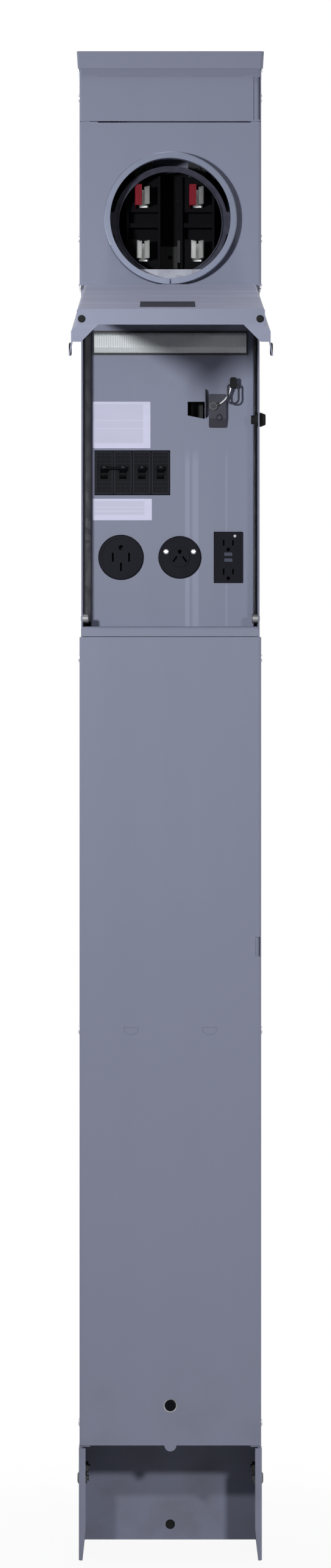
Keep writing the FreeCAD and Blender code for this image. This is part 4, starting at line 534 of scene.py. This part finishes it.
class PedestalColours(PropertyGroup):
    painted_steel: colour_of("painted_steel", "Painted steel")
    galvanised: colour_of("galvanised", "Galvanised sheet")
    zinc_fastener: colour_of("zinc_fastener", "Zinc fasteners")
    dark_fastener: colour_of("dark_fastener", "Cover bolt")
    ring_aluminium: colour_of("ring_aluminium", "Sealing ring")
    black_phenolic: colour_of("black_phenolic", "Socket blocks")
    black_bracket: colour_of("black_bracket", "Socket bracket")
    red_insulation: colour_of("red_insulation", "Jaw guards")
    tinned_jaw: colour_of("tinned_jaw", "Socket jaws")
    lug_aluminium: colour_of("lug_aluminium", "Lugs and bars")
    device_black: colour_of("device_black", "Outlets")
    breaker_black: colour_of("breaker_black", "Breakers")
    button_grey: colour_of("button_grey", "Test buttons")
    label_white: colour_of("label_white", "Bare labels")
    lens_clear: colour_of("lens_clear", "Lamp lens")
    lamp_tray: colour_of("lamp_tray", "Lamp tray")
    hasp_steel: colour_of("hasp_steel", "Hasp body")
    bright_wire: colour_of("bright_wire", "Bright wire")
    black_grip: colour_of("black_grip", "Grip and photocell")
    ground_brass: colour_of("ground_brass", "Ground bar")


class PedestalSizes(PropertyGroup):
    pole_rim: length("Breaker rim", "Width of the raised rim round each breaker's face", 2.2, 0.5, 4.0)
    mark_height: length("Number height", "Height of the numbers on the breaker handles", 3.6, 2.0, 4.0)
    lamp_radius: length("Indicator radius", "Radius of the duplex outlet's indicator lamp", 2.0, 0.8, 4.0)
    plate_width: length("Door plate width", "Width of the bare plate on the door", 68, 20, 90)
    plate_length: length("Door plate length", "Length of the bare plate on the door", 90, 20, 120)
    plug_radius: length("Plug radius", "Radius of the rubber plugs in the door's ears", 4.6, 3.6, 5.5)
    camera_distance: length("Camera distance", "From the front of the post to the camera", 5300, 2000, 12000)


# The steps, one operator for each

class PEDESTAL_OT_finishes(Operator):
    """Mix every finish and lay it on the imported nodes"""
    bl_idname = "pedestal.finishes"
    bl_label = "Lay the finishes"

    def execute(self, context):
        colours = {slot: tuple(getattr(context.scene.pedestal_colours, slot)) for slot in FINISHES}
        for slot, (make, factor, *settings) in FINISHES.items():
            laid[slot] = make(slot, shade(colours[slot], factor), *settings)
        paint, zinc, fastener = (colours[slot] for slot in ("painted_steel", "galvanised", "zinc_fastener"))
        pivot = tuple(joint("lever_turn")["pos_m"])
        own = {
            "upper_label": film("upper_label", colours["label_white"], "upper_label"),
            "lower_label": film("lower_label", colours["label_white"], "lower_label"),
            # The support rim and the ledge below it take darker copies of the galvanised sheet: painted shade
            # inside the meter opening
            "support_rim": zinc_sheet("dull_zinc", shade(zinc, (0.045, 0.045, 0.075))),
            "support_bracket": zinc_sheet("ledge_zinc", shade(zinc, (0.44, 0.44, 0.50))),
            # The base bolts take a much darker copy of the fastener zinc: painted shade inside the base opening
            "base_bolts": plated("bolt_zinc", shade(fastener, 0.12), 0.5, 0.7),
            # The panel's coat carries pale upright streaks of painted reflection
            "outlet_panel": powder_coat("panel_coat", paint, painted_reflection_streaks),
            # The door's coat is a slightly darker copy of the paint, painted shade, with streaks of painted
            # highlight over it
            "door": powder_coat("door_coat", shade(paint, 0.95), painted_highlight_streaks),
            "cover_bolt": black_paint("bolt_black", shade(paint, 0.03)),
            # The hasp keeper, painted steel, is laid near-black: painted shade for the dark window of the hasp it
            # stands in
            "hasp_keeper": black_paint("keeper_black", shade(paint, 0.05)),
            "hasp_lever": drawn_wire("lever_wire", colours["bright_wire"], pivot),
            # The latch studs take a darker copy of the fastener zinc: painted shade for the dark gaps they sit in
            "latch_studs": plated("stud_zinc", shade(fastener, 0.32), 0.4),
        }
        # The breakers' rims and ribs take a paler copy of the breaker black: painted highlight where their edges
        # catch the light
        laid["worn_edge"] = moulding("worn_edge", shade(colours["breaker_black"], 1.5), 0.5)
        laid["plate_black"] = black_paint("plate_black", shade(colours["hasp_steel"], 0.5))
        for entry in frame["record"]["subparts"]:
            node = frame["nodes"][entry["node"]]
            finish = own.get(entry["node"]) or laid[entry["material_slot"]]
            if not node.material_slots:
                node.data.materials.append(finish)
            for place in node.material_slots:
                place.material = finish
        return {"FINISHED"}


class PEDESTAL_OT_door_plate(Operator):
    """Make the bare plate on the door's outer face"""
    bl_idname = "pedestal.door_plate"
    bl_label = "Make the door plate"

    def execute(self, context):
        sizes = context.scene.pedestal_sizes
        half = Vector((sizes.plate_width / 2, sizes.plate_length / 2, PLATE_HALF))
        plate = start_block(-half, half)
        inset(plate, lambda normal: normal.z > 0.9, 1.6 * MM, -0.12 * MM)
        soften(plate, 0.1 * MM)
        lay_on_door(plate, PLATE_ALONG, -PLATE_HALF, PLATE_ASIDE)
        hand_over(plate, "door_plate", "door", "hasp_steel", "plate_black")
        return {"FINISHED"}


class PEDESTAL_OT_door_rubber(Operator):
    """Make the rubber plugs in the door's ears and the pads on its tabs"""
    bl_idname = "pedestal.door_rubber"
    bl_label = "Make the door's plugs and pads"

    def execute(self, context):
        plug = self.plug(context.scene.pedestal_sizes.plug_radius)
        hand_over(plug, "ear_plug_left", "door", "black_grip")
        self.pad(-1, "tab_pad_left")
        twin = repeat(plug, [(2 * PLUG_ASIDE, 0, 0)])[1]
        hand_over(twin, "ear_plug_right", "door", "black_grip")
        self.pad(1, "tab_pad_right")
        return {"FINISHED"}

    def plug(self, radius):
        """The plug in the left ear, domed a little towards the front."""
        plug = start_round((0, 0, 0), radius, PLUG_DEPTH, "Y")
        inset(plug, lambda normal: normal.y < -0.9, radius * 0.4, 0.5 * MM)
        soften(plug, 0.4 * MM)
        lay_on_door(plug, PLUG_ALONG, PLUG_DEEP, -PLUG_ASIDE)
        return plug

    def pad(self, side, name):
        """The pad on one tab, with a shallow hollow in its outer side."""
        low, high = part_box("door")
        pad = start_block(-PAD_HALF, PAD_HALF)
        inset(pad, lambda normal: normal.x * side > 0.9, 2.0 * MM, -0.3 * MM)
        soften(pad, 0.5 * MM)
        lay_on_door(pad, PAD_ALONG, PAD_DEEP, side * ((high.x - low.x) / 2 - PAD_INWARD))
        hand_over(pad, name, "door", "black_grip")


class PEDESTAL_OT_breaker_rims(Operator):
    """Make the raised rims and the ribs on the breakers' faces"""
    bl_idname = "pedestal.breaker_rims"
    bl_label = "Make the breaker rims"

    def execute(self, context):
        rim = context.scene.pedestal_sizes.pole_rim
        for node, count in (("breaker_50a", 2), ("breaker_30a", 1), ("breaker_20a", 1)):
            low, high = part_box(node)
            width = (high.x - low.x) / count
            corner = Vector((low.x, low.y, (low.z + high.z) / 2))
            pole = merge([self.frame_round(corner, width, rim)] + self.ribs(corner, width))
            poles = repeat(pole, [(width * step, 0, 0) for step in range(1, count)])
            hand_over(merge(poles), node + "_rim", "pedestal", "breaker_black", "worn_edge")
        return {"FINISHED"}

    def ribs(self, corner, width):
        """The fine moulded ribs above and below the handle of one pole."""
        start, others = RIB_LEVELS[0], RIB_LEVELS[1:]
        level = self.rib(corner, (RIB_END, width - RIB_END),
                         (start - LEVEL_RIB_HALF, start + LEVEL_RIB_HALF))
        near, far = (width * share for share in UPRIGHT_SHARES)
        upright = self.rib(corner, (near - UPRIGHT_RIB_HALF, near + UPRIGHT_RIB_HALF),
                           (-UPRIGHT_FAR, -UPRIGHT_NEAR))
        across, up = far - near, UPRIGHT_NEAR + UPRIGHT_FAR
        return (repeat(level, [(0, 0, height - start) for height in others])
                + repeat(upright, [(across, 0, 0), (0, 0, up), (across, 0, up)]))

    def rib(self, corner, across, up):
        """One rib that stands on the face, between two places across the pole and two up it."""
        bar = start_block(corner + Vector((across[0], -RIB_SUNK, up[0])),
                          corner + Vector((across[1], RIB_PROUD, up[1])))
        inset(bar, lambda normal: normal.y < -0.9, 0.12 * MM, 0.1 * MM)
        return bar

    def frame_round(self, corner, width, rim):
        """One pole's rim: a thin plate whose middle is taken out down to the face."""
        low = corner + Vector((RIM_GAP, -RIM_SUNK, -RIM_HALF_HEIGHT))
        high = corner + Vector((width - RIM_GAP, RIM_PROUD, RIM_HALF_HEIGHT))
        plate = start_block(low, high)
        pick(plate, lambda normal: abs(normal.y) > 0.9)
        bpy.ops.mesh.inset(thickness=rim, depth=0)
        bpy.ops.mesh.bridge_edge_loops()
        bpy.ops.object.mode_set(mode="OBJECT")
        soften(plate, 0.3 * MM)
        return plate


class PEDESTAL_OT_indicator(Operator):
    """Make the duplex outlet's indicator lamp and the photocell's glass"""
    bl_idname = "pedestal.indicator"
    bl_label = "Make the lamp and the photocell glass"

    def execute(self, context):
        radius = context.scene.pedestal_sizes.lamp_radius
        low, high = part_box("gfci_body")
        centre = ((low.x + high.x) / 2 + LAMP_ASIDE, low.y, high.z - LAMP_DOWN)
        lamp = start_round(centre, radius, LAMP_DEPTH, "Y")
        inset(lamp, lambda normal: normal.y < -0.9, radius * 0.35, 0.35 * MM)
        soften(lamp, 0.25 * MM)
        hand_over(lamp, "outlet_indicator", "pedestal", "lens_clear")
        low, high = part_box("photocell_eye")
        centre = (high.x - GLASS_INWARD, (low.y + high.y) / 2, (low.z + high.z) / 2)
        glass = start_round(centre, GLASS_RADIUS, GLASS_DEPTH, "X")
        inset(glass, lambda normal: normal.x > 0.9, 1.6 * MM, 0.5 * MM)
        soften(glass, 0.4 * MM, 3)
        hand_over(glass, "photocell_glass", "pedestal", "lens_clear")
        return {"FINISHED"}


class PEDESTAL_OT_hole_cap(Operator):
    """Make the black push-in cap in the stake hole: painted shade for the dark seen through the hole"""
    bl_idname = "pedestal.hole_cap"
    bl_label = "Make the stake hole's cap"

    def execute(self, context):
        hole = next(m for m in frame["record"]["mounts"] if m["name"] == "stake_hole")
        radius = hole["dims"]["r_mm"] * MM
        x, y, z = hole["pos_m"]
        cap = start_round((x, y - CAP_FORWARD, z), radius - CAP_PLAY, CAP_DEPTH, "Y", 32)
        for side in (-1, 1):
            inset(cap, lambda normal: normal.y * side > 0.9, radius * 0.25, -0.5 * MM)
        soften(cap, 0.3 * MM)
        hand_over(cap, "stake_hole_cap", "pedestal", "black_grip")
        return {"FINISHED"}


class PEDESTAL_OT_numbers(Operator):
    """Make the plain numbers on the breaker handles"""
    bl_idname = "pedestal.numbers"
    bl_label = "Make the handle numbers"

    def execute(self, context):
        size = context.scene.pedestal_sizes.mark_height
        for rating, count in (("50", 2), ("30", 1), ("20", 1)):
            handle = "handle_" + rating + "a"
            low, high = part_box(handle)
            pivot = joint(handle + "_throw")["pos_m"]
            place = (low.x + HANDLE_HALF, pivot[1] - math.cos(HANDLE_TILT) * HANDLE_REACH,
                     pivot[2] + math.sin(HANDLE_TILT) * HANDLE_REACH)
            span = high.x - low.x - 2 * HANDLE_HALF
            marks = repeat(self.number(rating, size, place), [(span, 0, 0)] * (count - 1))
            hand_over(merge(marks), handle + "_number", handle, "label_white")
        return {"FINISHED"}

    def number(self, text, size, place):
        """One number, sunk into the end of a handle that tilts up."""
        let_go()
        bpy.ops.object.text_add(location=(0, 0, 0))
        mark = bpy.context.object
        mark.data.body = text
        mark.data.size = size
        mark.data.extrude = 0.25 * MM
        bpy.ops.object.convert(target="MESH")
        mark = bpy.context.object
        bpy.ops.object.origin_set(type="ORIGIN_GEOMETRY", center="BOUNDS")
        mark.rotation_euler = (math.pi / 2 - HANDLE_TILT, 0, 0)
        mark.location = place
        return mark


class PEDESTAL_OT_stage(Operator):
    """Set the floor, the lamps and the camera"""
    bl_idname = "pedestal.stage"
    bl_label = "Set the stage"

    def execute(self, context):
        self.floor()
        self.world(context.scene)
        for name, settings in LAMPS.items():
            self.lamp(name, *settings)
        self.camera(context)
        return {"FINISHED"}

    def floor(self):
        let_go()
        bpy.ops.mesh.primitive_plane_add(size=FLOOR_SIZE, location=(0, 0, -FLOOR_DROP))
        floor = bpy.context.object
        floor.name = "floor"
        material, mix = begin_finish("floor_cloth")
        where = mix.place()
        fine = mix.noise(where, 90.0, 3.0)
        tone = mix.tint(fine * 0.1, *FLOOR_TONES)
        cloth = mix.add("ShaderNodeBsdfPrincipled", inputs={"Base Color": tone, "Roughness": 0.9})
        white = mix.add("ShaderNodeEmission", inputs={"Color": WHITE, "Strength": 1.0})
        reach = mix.add("ShaderNodeVectorMath", {"operation": "LENGTH"}, {0: where}, output="Value")
        share = self.seen(mix) * mix.rise(reach, SHADOW_NEAR, SHADOW_FAR, SHADOW_WHITE, 1.0)
        mix.close(mix.add("ShaderNodeMixShader", inputs={0: share, 1: cloth, 2: white}))
        floor.data.materials.append(material)

    def seen(self, mix):
        """One for rays that show the background: straight, mirrored or through something clear."""
        straight, mirrored, through = (mix.add("ShaderNodeLightPath", output=name) for name in
                                       ("Is Camera Ray", "Is Glossy Ray", "Is Transmission Ray"))
        return mix.add("ShaderNodeMath", {"operation": "MINIMUM"},
                       {0: straight + mirrored + through, 1: 1.0})

    def world(self, scene):
        world = bpy.data.worlds.new("studio")
        scene.world = world
        world.use_nodes = True
        mix = Recipe(world.node_tree)
        plain = mix.add("ShaderNodeBackground", inputs={"Color": WORLD_TINT, "Strength": WORLD_LIGHT})
        white = mix.add("ShaderNodeBackground", inputs={"Color": WHITE, "Strength": 1.0})
        both = mix.add("ShaderNodeMixShader", inputs={0: self.seen(mix), 1: plain, 2: white})
        mix.close(both, "ShaderNodeOutputWorld")

    def lamp(self, name, place, target, size, power, spread, colour):
        let_go()
        bpy.ops.object.light_add(type="AREA", location=place)
        lamp = bpy.context.object
        lamp.name = name
        lamp.data.shape = "DISK"
        lamp.data.size = size
        lamp.data.energy = power
        lamp.data.spread = math.radians(spread)
        lamp.data.color = colour
        lamp.rotation_euler = (Vector(target) - Vector(place)).to_track_quat("-Z", "Y").to_euler()

    def camera(self, context):
        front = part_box("lower_cover")[0].y
        let_go()
        place = (CAMERA_ASIDE, front - context.scene.pedestal_sizes.camera_distance, CAMERA_HEIGHT)
        bpy.ops.object.camera_add(location=place, rotation=(math.pi / 2, 0, 0))
        camera = bpy.context.object
        camera.data.sensor_width = CAMERA_SENSOR
        camera.data.lens = CAMERA_LENS
        camera.data.clip_end = CAMERA_FAR
        context.scene.camera = camera
        context.scene.view_settings.view_transform = "Standard"


STEPS = (PEDESTAL_OT_finishes, PEDESTAL_OT_door_plate, PEDESTAL_OT_door_rubber, PEDESTAL_OT_breaker_rims,
         PEDESTAL_OT_indicator, PEDESTAL_OT_hole_cap, PEDESTAL_OT_numbers, PEDESTAL_OT_stage)


class PEDESTAL_PT_steps(Panel):
    """Lists the colours, the sizes and the steps"""
    bl_idname = "PEDESTAL_PT_steps"
    bl_label = "Power pedestal"
    bl_space_type = "VIEW_3D"
    bl_region_type = "UI"
    bl_category = "Pedestal"

    def draw(self, context):
        layout = self.layout
        for group in (context.scene.pedestal_colours, context.scene.pedestal_sizes):
            box = layout.box()
            for key in group.bl_rna.properties.keys():
                if key not in ("rna_type", "name"):
                    box.prop(group, key)
        for step in STEPS:
            layout.operator(step.bl_idname)


CLASSES = (PedestalColours, PedestalSizes) + STEPS + (PEDESTAL_PT_steps,)


def register():
    for item in CLASSES:
        bpy.utils.register_class(item)
    bpy.types.Scene.pedestal_colours = PointerProperty(type=PedestalColours)
    bpy.types.Scene.pedestal_sizes = PointerProperty(type=PedestalSizes)


def unregister():
    del bpy.types.Scene.pedestal_sizes
    del bpy.types.Scene.pedestal_colours
    for item in reversed(CLASSES):
        bpy.utils.unregister_class(item)


def main():
    register()
    for step in STEPS:
        group, name = step.bl_idname.split(".")
        getattr(getattr(bpy.ops, group), name)()
    let_go()


if __name__ == "__main__":
    main()
